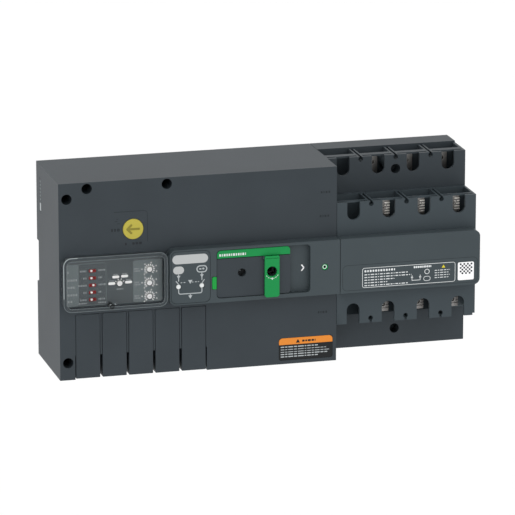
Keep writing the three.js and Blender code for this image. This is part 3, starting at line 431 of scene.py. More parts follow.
def surface(name, colour, roughness=0.5, variation=0.05, bump=0.25, metallic=0.0, grain=0.25, spread=0.06,
            blotch=25):
    """A procedural surface: soft colour and roughness variation, and a fine grain of about grain mm."""
    m = bpy.data.materials.new(name)
    m.use_nodes = True
    links = m.node_tree.links
    shader = m.node_tree.nodes["Principled BSDF"]

    def node(kind, settings=None):
        made = m.node_tree.nodes.new("ShaderNode" + kind)
        for key, value in (settings or {}).items():
            made.inputs[key].default_value = value
        return made

    place = node("TexCoord").outputs["Object"]
    broad = node("TexNoise", {"Scale": blotch, "Detail": 3})
    tint = node("ValToRGB")
    fine = node("TexNoise", {"Scale": 1 / (grain * MM), "Detail": 2})
    gloss = node("MapRange", {"To Min": roughness - spread, "To Max": roughness + spread})
    for element, position, k in zip(tint.color_ramp.elements, (0.3, 0.7), (1 - variation, 1 + variation)):
        element.position = position
        element.color = scaled(colour, k)
    shader.inputs["Metallic"].default_value = metallic
    shader.inputs["IOR"].default_value = PLASTIC_IOR
    links.new(place, broad.inputs["Vector"])
    links.new(place, fine.inputs["Vector"])
    links.new(broad.outputs["Fac"], tint.inputs["Fac"])
    links.new(fine.outputs["Fac"], gloss.inputs["Value"])
    links.new(tint.outputs["Color"], shader.inputs["Base Color"])
    links.new(gloss.outputs["Result"], shader.inputs["Roughness"])
    if bump:
        relief = node("Bump", {"Strength": bump, "Distance": RELIEF_DEPTH})
        links.new(fine.outputs["Fac"], relief.inputs["Height"])
        links.new(relief.outputs["Normal"], shader.inputs["Normal"])
    return m


def clear_lid():
    """Clear plastic with a slight dark tint."""
    m = surface("lid_clear", srgb(14, 15, 16), roughness=0.12, variation=0.2, bump=0, spread=0.03, blotch=12)
    shader = m.node_tree.nodes["Principled BSDF"]
    shader.inputs["IOR"].default_value = CLEAR_IOR
    shader.inputs["Alpha"].default_value = CLEAR_ALPHA
    return m


# An sRGB colour, then roughness, variation, bump, metallic and grain, as far as they aren't the usual ones.
LOOKS = {
    "housing_plastic": ((54, 61, 66),),
    "switch_plastic": ((61, 70, 75),),
    "belt_plastic": ((64, 73, 77),),
    "panel_plastic": ((84, 91, 94),),
    "inner_plastic": ((58, 61, 63), 0.6),
    "green_plastic": ((16, 140, 71), 0.42, 0.03),
    "green_bright": ((24, 152, 62), 0.4, 0.03),
    "yellow_plastic": ((184, 172, 72), 0.45, 0.03),
    "red_plastic": ((160, 44, 44), 0.42),
    "key_white": ((252, 252, 250), 0.45),
    "lamp_lens": ((226, 230, 230), 0.16, 0.02, 0.05),
    "circuit_board": ((31, 90, 60), 0.5, 0.08),
    "steel": ((168, 170, 173), 0.3, 0.06, 0.25, 1, 0.4),
    "copper": ((184, 115, 69), 0.32, 0.08, 0.25, 1, 0.4),
    "tinned": ((148, 146, 144), 0.4, 0.08, 0.25, 1, 0.4),
    # Painted highlight for the lit edges of the clamp ridges.
    "ridge_highlight": ((250, 246, 238), 0.3, 0.05, 0.25, 0.2),
    "lid_band": ((66, 73, 77),),
    # Painted highlight for the edges of the clear lid.
    "lid_edge_highlight": ((118, 127, 130), 0.4, 0.04, 0.1),
    "lid_glint": ((168, 177, 179), 0.3, 0.04, 0.1),
    "pale_panel": ((109, 118, 120), 0.5, 0.03, 0.15),
    "pill_grey": ((184, 187, 187), 0.45, 0.02, 0.1),
    # Black of the caution label and its print, and painted shade round the seal hole in the lid.
    "label_black": ((27, 30, 31), 0.4, 0.04, 0.1),
    "label_pale": ((254, 254, 255), 0.4, 0.01, 0.1),
    "label_orange": ((228, 138, 50), 0.42, 0.02, 0.1),
    "print_soft": ((176, 182, 184), 0.5, 0.03, 0.1),
    "print_white": ((226, 229, 230), 0.5, 0.03, 0.1),
    "print_grey": ((150, 156, 158), 0.5, 0.03, 0.1),
    "print_dark": ((44, 49, 53), 0.5, 0.04, 0.1),
    # Faint marks, and painted shade for the groove round the knob.
    "faint_marks_and_groove_shade": ((36, 42, 46), 0.5, 0.04, 0.1),
    "print_yellow": ((224, 208, 48), 0.42, 0.02, 0.1),
    # Painted shade for the floor of the arrow cut into the knob.
    "arrow_groove_shade": ((138, 129, 52), 0.5, 0.03, 0.1),
}
M = {name: surface(name, srgb(*colour), *settings) for name, (colour, *settings) in LOOKS.items()}
M["lid_clear"] = clear_lid()


# ---- Control housing ----

ACCESS_HOLES = [(6.7, 150.8), (23.4, 158.6), (89.6, 158.6), (6.7, 14.4)]
ACCESS_RADIUS, ACCESS_BACK = 4.3, 30
BAY_DEPTH, BAY_WALL = 24, 3
RIB_BOTTOM, RIB_HALF = 19.8, 0.7
CLIP_NOTCH = (108, 126)
BELT_OPENING = (64, 101)
LABEL_GAP, LABEL_RECESS = 0.2, 0.6
KNOB_RADIUS = 8.4
KNOB_X, KNOB_Z = KNOB.left + KNOB_RADIUS, KNOB.z


def label_recess(label, corner, face):
    return slab(outline_of(label, corner, LABEL_GAP), face - LABEL_RECESS, face + 1)


def control_housing():
    width, height = HOUSING.right, HOUSING.top
    pitch = MODULES[1].left - MODULES[0].left
    bay_left, bay_right = MODULES[0].left - GAP, MODULES[-1].right + GAP
    bay_back, bay_top = FACE - BAY_DEPTH, MODULES[0].top + GAP
    through = (FACE - WALL - 1, FACE + 1)
    strip = SIDE_LABEL
    steps = cuts(block(WALL, width - WALL, -1, FACE - WALL, WALL, height - WALL))
    steps += adds(
        *(rod_front(x, z, ACCESS_RADIUS + 1, ACCESS_BACK + 4, FACE - 0.5) for x, z in ACCESS_HOLES),
        block(bay_left - BAY_WALL, bay_right + BAY_WALL, bay_back - 2, FACE - 1, 0.05, bay_top + 2),
    )
    steps += cuts(
        block(bay_left, bay_right, bay_back, FACE + 1, -1, bay_top),
        block(MODULES[0].left - RIB_HALF, MODULES[-1].right + 1, bay_back, FACE + 1, -1, RIB_BOTTOM),
        block(-1, width + 1, -1, RAIL_DEPTH, RAIL_BOTTOM, RAIL_TOP),
        block(*CLIP_NOTCH, -1, RAIL_DEPTH + GAP, -1, WALL + 1),
        slab(outline_of(PANEL, 2.5, GAP), *through),
        block(BELT.left + 5, width - 6, *through, *BELT_OPENING),
        rod_front(KNOB_X, KNOB_Z, KNOB_RADIUS + GAP, *through, 64),
        *(shaft_hole(d, width - WALL - 1, width + 1) for d in (SOURCE_1_D, SOURCE_2_D)),
        label_recess(WARNING, 2, FACE),
        block(-1, 0.5, strip.back - GAP, strip.front + GAP, strip.bottom - GAP, strip.top + GAP),
        *(rod_front(x, z, ACCESS_RADIUS, ACCESS_BACK, FACE + 1) for x, z in ACCESS_HOLES),
    )
    for module in MODULES[:-1]:
        x = module.left + (pitch + module.right - module.left) / 2
        steps += adds(beam(x, RIB_HALF, bay_back - 1, FACE - 0.5, RIB_BOTTOM, bay_top + 1))
    return carve(block(0, width, 0, FACE, 0, height), *steps)


piece("housing_shell", control_housing(), ROOT, "housing_plastic", ["control_housing"], 0.35)


def module_cover(span):
    skin = 1.6
    return cut(
        block(span.left, span.right, span.back, span.front, span.bottom, span.top),
        block(span.left + skin, span.right - skin, span.back - 1, span.front - skin,
              span.bottom + skin, span.top - skin),
    )


for i, span in enumerate(MODULES, 1):
    piece(f"module_cap_{i}", module_cover(span), ROOT, "housing_plastic", [f"module_cover_{i}"], 0.4)

KNOB_MARK_DEPTH = 0.25
ARROW_FLOOR = KNOB.front - KNOB_MARK_DEPTH


def arrow_left(d0, d1):
    """A plain arrow across the knob that points left, as three strokes."""
    half, barb, reach = 0.95, 6.2, 5.6
    tail, tip = KNOB_X + reach, KNOB_X - reach
    side = rounded(tip, tip + barb, KNOB_Z - half, KNOB_Z + half, 0.8, 6)
    return [
        slab(rounded(tip + 0.6, tail, KNOB_Z - half, KNOB_Z + half, 0.8, 6), d0, d1),
        *(slab(rotated(side, tip + 0.7, KNOB_Z, turn), d0, d1) for turn in (45, -45)),
    ]


def knob():
    back, front, radius = FACE - WALL, KNOB.front, KNOB_RADIUS
    return carve(
        tipped_rod(KNOB_X, KNOB_Z, radius, radius - 0.35, back, front - 0.3, front, 72),
        ("add", rod_front(KNOB_X, KNOB_Z, 4, 66, back + 0.5)),
        ("add", block(KNOB_X - 4, KNOB_X + 9, 68, 72, KNOB_Z - 3, KNOB_Z + 3)),
        *cuts(*arrow_left(ARROW_FLOOR, front + 1)),
    )


piece("auto_manual_selector", knob(), "auto_manual_knob", "yellow_plastic", ["auto_manual_knob"], 0.08)
# Painted shade: the darker yellow on the floor of the cut arrow stands in for the shade in that groove.
mark("knob_arrow", join(*arrow_left(ARROW_FLOOR - 0.05, ARROW_FLOOR + 0.03)), "arrow_groove_shade", "auto_manual_knob")


def knob_frame():
    """Painted shade of the shallow groove round the knob, drawn only on the top and the right side, where it
    shows dark.
    """
    left, right, bottom, top = 41.5, 73.5, 108, 138
    corner, width, end = 3, 0.5, 4
    outer = arc(right - corner, top - corner, corner, 90, 0, 8)
    inner = arc(right - corner, top - corner, corner - width, 90, 0, 8)
    outline = [(left + end, top), *outer, (right, bottom + end), (right - width, bottom + end), *inner[::-1],
               (left + end, top - width)]
    return raised(FACE, 0.03, outline)


# Painted shade: a dark line stands in for the shade in the groove round the knob.
mark("knob_groove_shade", knob_frame(), "faint_marks_and_groove_shade")
KNOB_MARKS = [(43.2, 121.6, 1.6, 2.6), (45.6, 121.6, 1.6, 2.6), (48, 121.6, 2.4, 2.6),
              (46.4, 129.8, 2.2, 0.5), (47.6, 131.6, 1.6, 0.5), (48.4, 127.9, 2, 0.5),
              (54.6, 109.8, 1.4, 2.2), (60.5, 110, 2.2, 2), (63.3, 110, 2.2, 2), (66.1, 110, 2.6, 2)]
mark("knob_marks", bars(KNOB_MARKS, FACE, 0.05), "faint_marks_and_groove_shade")
ROW_MARKS = [(218.4, 142.2), (217.6, 122.2), (216.2, 41)]


def housing_marks():
    """Three faint rows of plain dashes near the right side, beside the rows of terminals."""
    rows = [row for x, z in ROW_MARKS for row in words(x, x + 8, z, 1.9, (1.5, 0.9, 1.7), 0.8)]
    return bars(rows, FACE, 0.04)


mark("housing_marks", housing_marks(), "faint_marks_and_groove_shade")


# ---- Labels on the housing ----

WARNING_SPLIT = WARNING.top - 5.6


def caution_part(bottom, top, corners, front):
    return slab(rounded(WARNING.left, WARNING.right, bottom, top, corners), WARNING.back, front)


def caution_print():
    rows = []
    for i, (reach, height) in enumerate(((33, 0.9), (40, 0.55), (42.6, 0.55), (41, 0.85), (33, 0.85))):
        z = WARNING_SPLIT - 2.35 - i * 2.05
        rows += words(WARNING.left + 1.4, WARNING.left + reach, z, height, (3.1, 1.9, 4.2, 2.6, 5, 1.5), 0.7)
    return bars(rows, WARNING.front, 0.05)


def caution_band_print():
    """A plain triangle and one line of dashes."""
    left, bottom, face = WARNING.left, WARNING_SPLIT, WARNING.front
    dashes = words(left + 19.6, left + 31, bottom + 1.7, 1.7, (2.1, 1.5, 2.6), 0.6)
    return merged(bars(dashes, face, 0.06),
                  slab(triangle(left + 16, bottom + 1.2, 3.6, 3.1), face, face + 0.07))


piece("caution_label", caution_part(WARNING.bottom, WARNING_SPLIT, (2, 2, 0, 0), WARNING.front), ROOT,
      "label_black", ["warning_label"], 0.05)
piece("caution_band", caution_part(WARNING_SPLIT + 0.02, WARNING.top, (0, 0, 3, 3), WARNING.front + 0.02),
      ROOT, "label_orange", bevel=0.05)
mark("caution_print", caution_print(), "print_soft")
mark("caution_band_print", caution_band_print(), "label_black")


def strip_bar(inset, z0, z1):
    """A thin bar across the strip on the left side."""
    x = SIDE_LABEL.left
    return block(x - 0.04, x + 0.07, SIDE_LABEL.back + inset, SIDE_LABEL.front - inset, z0, z1)


def side_ticks():
    """Faint dashes on the upper part of the strip."""
    first, pitch, height = SIDE_LABEL.bottom + 9.4, 3, 1.5
    return merged(*(strip_bar(1.4, first + i * pitch, first + i * pitch + height) for i in range(6)))


piece("side_strip", block(SIDE_LABEL.left + 0.05, SIDE_LABEL.right, SIDE_LABEL.back, SIDE_LABEL.front,
      SIDE_LABEL.bottom, SIDE_LABEL.top), ROOT, "housing_plastic", ["side_label"], 0.08)
mark("side_strip_ticks", side_ticks(), "pale_panel")
mark("side_strip_block", strip_bar(1, SIDE_LABEL.bottom + 0.6, SIDE_LABEL.bottom + 7), "print_soft")


# ---- Belt ----

WINDOW = (128, 206.8, 62.8, 103.2)
WINDOW_LEFT, WINDOW_RIGHT, WINDOW_BOTTOM, WINDOW_TOP = WINDOW
POCKET_BACK, POCKET_FACE = 86.4, 88.6
SPINDLE_X, FLAG_X = 174, 149.5
HANDLE_RADIUS, FLAG_RADIUS = 4.2, 3.3
LAMP_HOLE, BUSH_HOLE = 2.3, 2.8
BELT_CORNER, DIAGRAM_CORNER, LABEL_CORNER = 5, 4.5, 2


def belt_section(back):
    """Side view of the belt: a flat ledge on top with a small chamfer at its front edge."""
    chamfer = 0.8
    return [(back, BELT_BOTTOM), (BELT_FACE, BELT_BOTTOM), (BELT_FACE, BELT_TOP - chamfer),
            (BELT_FACE - chamfer, BELT_TOP), (back, BELT_TOP)]


def belt_shell(span, left_corner, right_corner):
    """A belt's first steps: a hollow bar with round corners at its outer end."""
    corners = (left_corner, right_corner, right_corner, left_corner)
    outline = rounded(span.left, span.right, BELT_BOTTOM, BELT_TOP, corners, 12)
    return (
        across(belt_section(span.back), span.left, span.right),
        ("keep", slab(outline, FACE, BELT_FACE + 1)),
        ("cut", block(span.left + BELT_SKIN, span.right - BELT_SKIN, FACE, BELT_FACE - BELT_SKIN,
                      BELT_BOTTOM + BELT_SKIN, BELT_TOP - BELT_SKIN)),
    )


def control_belt():
    pocket = block(WINDOW_LEFT - 2, WINDOW_RIGHT + 2, POCKET_BACK, BELT_FACE - 0.5, BELT_BOTTOM + 0.5,
                   BELT_TOP - 1)
    latch_slot = rounded(LATCH.left - GAP, WINDOW_LEFT + 1, LATCH.bottom - GAP, LATCH.top + GAP, 0.8)
    return carve(
        *belt_shell(BELT, BELT_CORNER, 0),
        ("add", pocket),
        *cuts(
            slab(rounded(*WINDOW, 3.2), POCKET_FACE, BELT_FACE + 1),
            rod_front(SPINDLE_X, AXIS_Z, HANDLE_RADIUS + 0.8, FACE, BELT_FACE),
            rod_front(FLAG_X, AXIS_Z, FLAG_RADIUS + 0.5, FACE, BELT_FACE),
            slab(latch_slot, FACE, BELT_FACE + 1),
            slab(outline_of(DIAGRAM, DIAGRAM_CORNER, GAP), BELT_FACE - 1.2, BELT_FACE + 1),
            *(rod_front(s.x, s.z, LAMP_HOLE, FACE, BELT_FACE + 1, 32) for s in LAMPS),
            rod_front(BUSH.x, BUSH.z, BUSH_HOLE, FACE, BELT_FACE + 1, 40),
        ),
    )


def switch_belt():
    return carve(*belt_shell(FRONT, 0, BELT_CORNER),
                 *cuts(label_recess(RATING, LABEL_CORNER, BELT_FACE), label_recess(CODE, 1, BELT_FACE)))


piece("control_belt", control_belt(), ROOT, "belt_plastic", ["control_front_cover"])
piece("switch_belt", switch_belt(), ROOT, "belt_plastic", ["switch_front_cover"])


# ---- Diagram panel ----

DIAGRAM_RELIEF = 0.07
LAMP_PILL_Z = 88.9


def diagram_plate():
    holes = (rod_front(s.x, s.z, LAMP_HOLE, FACE, DIAGRAM.front + 1, 32) for s in LAMPS)
    return cut(slab(outline_of(DIAGRAM, DIAGRAM_CORNER, steps=10), DIAGRAM.back, DIAGRAM.front), *holes)


def diagram_print():
    """Two sources, their switches and the common load, as drawn on the plate."""
    stroke, bend = 0.75, 1.5
    source_top, source_end, switch_foot, load_top, load_end, bottom = 86, 79.6, 77, 72.9, 70.4, 68.9
    caption_z, captions = 78.4, ((97.9, 99.2), (100.3, 101.8), (107.2, 108.5), (109.8, 111.3), (112.2, 113.3))
    left, right = (s.x for s in LAMPS)
    middle = (left + right) / 2
    strokes = [line(left + bend, bottom, right - bend, bottom, stroke),
               line(middle, bottom, middle, 66.8, stroke)]
    arrows = [triangle(middle, 67.4, 3.4, -2.9), triangle(middle, 80.2, 3.6, -3.2)]
    for x, side in ((left, -1), (right, 1)):
        strokes += [
            line(x, source_top, x, source_end, stroke),
            line(x, switch_foot, x + side * 2.2, switch_foot + 3, 0.7),
            line(x, load_top, x, load_end, stroke),
            curve(x - side * bend, bottom + bend, bend, 0.74, 180 if side < 0 else 360, 270, 6),
        ]
        arrows.append(triangle(x, 84.3, 3.1, -2.6))
    strokes += [line(x0, caption_z, x1, caption_z, 0.6) for x0, x1 in captions]
    strokes += [pill(right - 1.3, LAMP_PILL_Z, 2, 1.1), pill(right + 1.2, LAMP_PILL_Z + 0.1, 1.8, 1.5)]
    pill_line = ring(pill(right, LAMP_PILL_Z, 9.1, 6), pill(right, LAMP_PILL_Z, 7.3, 4.2),
                     DIAGRAM.front - PRINT_SINK, DIAGRAM.front + DIAGRAM_RELIEF)
    return merged(raised(DIAGRAM.front, DIAGRAM_RELIEF, *strokes),
                  raised(DIAGRAM.front, DIAGRAM_RELIEF + 0.01, *arrows), pill_line)


def diagram_pills():
    return raised(DIAGRAM.front, DIAGRAM_RELIEF, pill(105.95, 97.75, 29.7, 7.5),
                  pill(LAMPS[0].x, LAMP_PILL_Z - 0.05, 9, 6.4))


piece("diagram_plate", diagram_plate(), ROOT, "belt_plastic", ["diagram_panel"], 0.15)
mark("diagram_print", diagram_print(), "print_soft")
mark("diagram_pills", diagram_pills(), "pill_grey")


def lamp(span):
    """A short rod with a domed end."""
    r, dome, steps = (span.right - span.left) / 2, 0.8, 6
    levels = [(circle(span.x, span.z, r, 32), span.back), (circle(span.x, span.z, r, 32), span.front - dome)]
    for i in range(1, steps):
        a = i / steps * math.pi / 2
        levels.append((circle(span.x, span.z, r * math.cos(a), 32), span.front - dome + dome * math.sin(a)))
    return stack(*levels)


for i, span in enumerate(LAMPS, 1):
    piece(f"lamp_{i}", lamp(span), ROOT, "lamp_lens", [f"source_lamp_{i}"], 0)


# ---- Settings panel ----

HINGE_D, HINGE_Z = 88.5, 101.5
PANEL_FACE = DIALS[0].front - 1
PANEL_CORNER = 2.5
PANEL_RIGHT = LID.left + LID.right - PANEL.left
EARS = [(PANEL.left + 0.2, PANEL.left + 2.2), (PANEL_RIGHT - 2.2, PANEL_RIGHT - 0.2)]
DIAL_BORE = 2.8
DIP_X = (SLIDERS[0].x + SLIDERS[2].x) / 2
DIP_FRAME = (15.4, 38.6, 62, 97.1)
LEFT_FIELD, RIGHT_FIELD = (5.6, 15.4, 62, 96.8), (60.8, 84.6, 62, 97)
SELECTOR_PILLS = [(SELECTOR.x - 6.6, SELECTOR.z + 0.3), (SELECTOR.x - 3.2, SELECTOR.z + 5.6),
                  (SELECTOR.x + 4.1, SELECTOR.z + 5.8), (SELECTOR.x + 7.3, SELECTOR.z + 0.6)]


def dip_box(span, half_width, half_height, corner):
    """A box round one small switch, in front view."""
    return rounded(DIP_X - half_width, DIP_X + half_width, span.z - half_height, span.z + half_height, corner)


def settings_panel():
    """The panel with its hinge ears and the bores for the settings."""
    through = (PANEL.back - 1, PANEL_FACE + 1)
    return carve(
        slab(outline_of(PANEL, PANEL_CORNER), PANEL.back, PANEL_FACE),
        *adds(*(block(x0, x1, PANEL.back, PANEL.front, HINGE_Z - 1.7, PANEL.top) for x0, x1 in EARS)),
        *cuts(*(rod_across(HINGE_D, HINGE_Z, 1.3, x0 - 1, x1 + 1) for x0, x1 in EARS),
              *(rod_front(s.x, s.z, DIAL_BORE, *through, 40) for s in (*DIALS, SELECTOR)),
              *(slab(dip_box(s, 3.1, 1.5, 0.8), *through) for s in SLIDERS)),
    )


def pale_fields():
    """The paler printed fields on the left and right of the panel, clear of the settings' bores."""
    d0, d1 = PANEL_FACE - PRINT_SINK, PANEL_FACE + 0.06
    right = cut(slab(rounded(*RIGHT_FIELD, 2), d0, d1),
                *(rod_front(s.x, s.z, DIAL_BORE, d0 - 1, d1 + 1, 40) for s in DIALS))
    return merged(slab(rounded(*LEFT_FIELD, (2, 0, 0, 2)), d0, d1), right)


def frame_line(left, right, bottom, top, corner, width, face, height):
    """A thin raised line inside the edge of a rectangle with round corners."""
    inner = rounded(left + width, right - width, bottom + width, top - width, corner - width)
    return ring(rounded(left, right, bottom, top, corner), inner, face - PRINT_SINK, face + height)


def dip_block():
    """The block behind the panel, with a boss and a slot for each small switch."""
    body = block(DIP_X - 5, DIP_X + 5, 74, PANEL.back - GAP, SLIDERS[-1].z - 4, SLIDERS[0].z + 4)
    bosses = [slab(dip_box(s, 2.9, 1.25, 0.8), 75, PANEL_FACE) for s in SLIDERS]
    slots = [slab(dip_box(s, 2.3, 1, 0), PANEL_FACE - 1.4, PANEL_FACE + 1) for s in SLIDERS]
    return cut(join(body, *bosses), *slots)


def trimmer(span, turn):
    """A round head with a chamfer and a screwdriver slot, turn degrees clockwise from upright."""
    r = (span.right - span.left) / 2 - 0.3
    slot = rounded(span.x - 0.45, span.x + 0.45, span.z - r * 1.6, span.z + r * 1.6, 0)
    return cut(tipped_rod(span.x, span.z, r, r - 0.35, span.back, span.front - 0.6, span.front, 40),
               slab(rotated(slot, span.x, span.z, -turn), span.front - 1, span.front + 1))


piece("settings_face", settings_panel(), ROOT, "panel_plastic", ["settings_panel"], 0.2)
mark("settings_fields", pale_fields(), "pale_panel")
mark("settings_frame", frame_line(*DIP_FRAME, 2, 0.4, PANEL_FACE, 0.07), "pale_panel")
piece("dip_switches", dip_block(), ROOT, "red_plastic", ["dip_switch_block"], 0.12)
for i, s in enumerate(SLIDERS, 1):
    key = tipped_rod(s.x, s.z, 0.95, 0.8, PANEL_FACE - 1.3, PANEL_FACE - 0.1, PANEL_FACE + 0.1, 24)
    piece(f"dip_key_{i}", key, f"dip_slider_{i}", "key_white", [f"dip_slider_{i}"], 0)
piece("mode_head", trimmer(SELECTOR, -30), "mode_selector", "key_white", ["mode_selector"], 0.08)
for i, (span, turn) in enumerate(zip(DIALS, (45, -45, -90)), 1):
    piece(f"delay_head_{i}", trimmer(span, turn), f"delay_dial_{i}", "key_white", [f"delay_dial_{i}"], 0.08)


def spoke(span, degrees, start, end, width):
    """A stroke that points at a span's middle, degrees clockwise from the top."""
    dx, dz = math.sin(math.radians(degrees)), math.cos(math.radians(degrees))
    return line(span.x + start * dx, span.z + start * dz, span.x + end * dx, span.z + end * dz, width)


def settings_print():
    """Ticks and dots round the dials, and ticks and pills round the selector."""
    shapes = []
    for s in DIALS:
        for k in range(12):
            degrees = -135 + k * 270 / 11
            shapes.append(spoke(s, degrees, 2.95, 4.5, 0.75))
            if k % 2 == 0:
                a = math.radians(degrees)
                shapes.append(circle(s.x + 6.3 * math.sin(a), s.z + 5.6 * math.cos(a), 0.5, 10))
    shapes += [spoke(SELECTOR, degrees, 2.95, 4.2, 0.5) for degrees in (-60, -20, 20, 60)]
    shapes += [pill(x, z, 5.8, 2.2) for x, z in SELECTOR_PILLS]
    return raised(PANEL_FACE, 0.1, *shapes)


def captions():
    """Plain dashes for the captions of the settings."""
    rows = []
    for s, left, right in zip(SLIDERS, (5.4, 2.6, 6.6, 2.6, 5.2), (6, 3.2, 6.8, 2.6, 5.2)):
        rows += words(DIP_X - 5 - left, DIP_X - 5, s.z - 0.7, 1.5, (0.8, 0.5, 0.9), 0.45)
        rows += words(DIP_X + 5, DIP_X + 5 + right, s.z - 0.5, 1.5, (0.6, 0.9, 0.5), 0.45)
    low = SLIDERS[-1].z - 3.4
    rows += words(DIP_X - 11.5, DIP_X - 4.6, low, 1.2, (1.1, 0.8, 1.3), 0.35)
    rows += words(DIP_X + 4.6, DIP_X + 11, low, 1.2, (0.9, 1.3, 0.8), 0.35)
    field = LEFT_FIELD[0] + 1
    for z, width in ((90.3, 1.6), (83.6, 8), (77.6, 6.6), (71.2, 7.8), (65.8, 3.6)):
        rows += words(field, field + width, z - 0.7, 1.9, (0.9, 0.5, 1.1), 0.55)
    for x, z in SELECTOR_PILLS:
        rows += words(x - 1.9, x + 1.9, z + 1.7, 0.9, (0.9, 0.6), 0.3)
    rows += words(SELECTOR.x - 2.6, SELECTOR.x + 3, SELECTOR.z - 5.2, 1.1, (1.1, 0.8), 0.35)
    field = RIGHT_FIELD[0] + 1.2
    for s in DIALS:
        rows += words(field, field + 3.6, s.z + 0.4, 1.3, (0.9, 0.6), 0.5)
        rows += words(field, field + 5, s.z - 1.5, 1.3, (0.6, 1), 0.5)
    return bars(rows, PANEL_FACE + 0.04, 0.05)


mark("settings_print", settings_print(), "key_white")
mark("settings_captions", captions(), "print_grey")


# ---- Clear lid ----

LID_SKIN, LID_CORNER = 1.4, 7
SEAL_X, SEAL_Z = 41.1, LID.bottom + 3.2
SEAL_RADIUS = 1.2


def lid_outline(inset):
    return outline_of(LID, LID_CORNER - inset, -inset, 12)


def lid_ring(outer, inner, d0, d1):
    """A ring between two insets from the lid's edge, its depths measured from the lid's front."""
    return ring(lid_outline(outer), lid_outline(inner), LID.front + d0, LID.front + d1)


def lid_stack(*levels):
    """A solid through insets of the lid's outline, each at a depth."""
    return stack(*((lid_outline(inset), d) for inset, d in levels))


def settings_lid():
    face, inside, pin = LID.front, LID.front - LID_SKIN, 4
    return carve(
        lid_stack((0, LID.back), (0, face - 2.2), (0.35, face - 1.1), (1.1, face - 0.35), (2.2, face)),
        ("cut", lid_stack((LID_SKIN, LID.back - 1), (LID_SKIN, face - 3), (LID_SKIN + 1.1, inside))),
        ("cut", block(LID.left - 1, LID.right + 1, LID.back - 1, HINGE_D - 2.5, HINGE_Z - 0.5, LID.top + 1)),
        *cuts(*(block(x - 0.4, x + 2.4, 85, inside, HINGE_Z, LID.top + 1) for x, _ in EARS)),
        ("cut", lid_ring(3.1, 3.5, -0.4, -0.02)),
        ("cut", rod_front(SEAL_X, SEAL_Z, SEAL_RADIUS, LID.back - 1, face + 1, 24)),
        ("add", rod_across(HINGE_D, HINGE_Z, 1, LID.left + LID_SKIN - 0.5, LID.left + LID_SKIN + pin)),
        ("add", rod_across(HINGE_D, HINGE_Z, 1, LID.right - LID_SKIN - pin, LID.right - LID_SKIN + 0.5)),
    )


def lid_glint():
    """A painted highlight: the brighter stretch of the outer edge, down the left side and round the upper
    left corner.
    """
    left, top, radius, width, reach = LID.left + 0.3, LID.top - 0.3, 6.7, 0.6, 12
    outer = arc(left + radius, top - radius, radius, 180, 90, 12)
    inner = arc(left + radius, top - radius, radius - width, 180, 90, 12)
    end, foot = left + reach, LID.bottom + reach
    outline = [(left, foot), *outer, (end, top), (end, top - width), *inner[::-1], (left + width, foot)]
    return slab(outline, LID.front - 1.15, LID.front - 0.9)


def seal_hole_shade():
    """Painted shade: a black tube round the hole for a seal, which makes the hole read dark."""
    return ring(circle(SEAL_X, SEAL_Z, SEAL_RADIUS + 0.6, 24), circle(SEAL_X, SEAL_Z, SEAL_RADIUS, 24),
                PANEL_FACE + 0.6, LID.front + 0.02)


def seal_glints():
    """Painted highlights: two short bright strokes above the hole."""
    strokes = (line(SEAL_X - 2.1, SEAL_Z + 1.8, SEAL_X - 0.8, SEAL_Z + 2.1, 0.5),
               line(SEAL_X + 2, SEAL_Z + 2.6, SEAL_X + 3.3, SEAL_Z + 1.6, 0.5))
    return merged(*(slab(stroke, LID.front - 0.1, LID.front + 0.03) for stroke in strokes))


piece("clear_lid", settings_lid(), "settings_lid", "lid_clear", ["settings_lid"], 0)
mark("lid_band", lid_ring(0.7, 2.6, -1.35, -1.2), "lid_band", "settings_lid")
# Painted highlights: pale rings along the lid's outer edge and along the groove inside it stand in for light
# caught on those edges.
mark("lid_edge_highlights", merged(lid_ring(0.35, 0.7, -1.2, -1), lid_ring(3.1, 3.4, -0.1, 0.02)), "lid_edge_highlight",
     "settings_lid")
mark("lid_glint", lid_glint(), "lid_glint", "settings_lid")
# Painted shade: a black tube round the seal hole stands in for the shade in the hole.
mark("lid_seal_hole_shade", seal_hole_shade(), "label_black", "settings_lid")
mark("lid_seal_glints", seal_glints(), "lid_glint", "settings_lid")


# ---- Shutter, padlock bar, latch and bush ----

SHUTTER_RIGHT, SHUTTER_BOTTOM, SHUTTER_TOP = 190, WINDOW_BOTTOM + 0.4, WINDOW_TOP - 0.4
SHUTTER_FACE = HEADER.front - 0.2
BAR_BACK = 94
BAR_PIVOT_D, BAR_PIVOT_Z = 94.2, 94.9
TONGUE_HALF = 3
FLAG = Span("position_flag")
FLAG_MARKS = [(-1.9, -0.2, 0.5, 1.9), (-1.9, -0.4, 1.1, 0.5), (-0.4, -0.3, 1.2, 0.6)]
CHEVRON_LEFT, CHEVRON_TIP = 200.6, 202.6


def shutter():
    """The slide, with ears and pins for the bar and holes for the handle, the flag and the bar's tongue."""
    left, right, face, pivot = SHUTTER.left, SHUTTER_RIGHT, SHUTTER_FACE, BAR_PIVOT_Z
    back, front = SHUTTER.back - 1, face + 1
    ears = [(BAR.left - 1.5, BAR.left - 0.3), (BAR.right + 0.3, BAR.right + 1.5)]
    pins = [(BAR.left - 1, BAR.left + 2.2), (BAR.right - 2.2, BAR.right + 1)]
    return carve(
        slab(rounded(left, right, SHUTTER_BOTTOM, SHUTTER_TOP, 2.8), SHUTTER.back, face),
        *cuts(
            block(left - 1, right + 1, face - 1.2, front, HEADER.bottom - 0.6, SHUTTER_TOP + 1),
            rod_front(SPINDLE_X, AXIS_Z, HANDLE_RADIUS + 0.2, back, front, 64),
            tipped_rod(FLAG_X, AXIS_Z, FLAG_RADIUS, FLAG_RADIUS + 0.5, back, face - 0.5, face + 0.001, 64),
            beam(SPINDLE_X, TONGUE_HALF + 0.4, back, front, 65.5, 69.9),
        ),
        *adds(
            *(block(x0, x1, face - 1.2, SHUTTER.front, pivot - 1.2, pivot + 1) for x0, x1 in ears),
            *(rod_across(BAR_PIVOT_D, pivot, 0.6, x0, x1, 16) for x0, x1 in pins),
        ),
    )


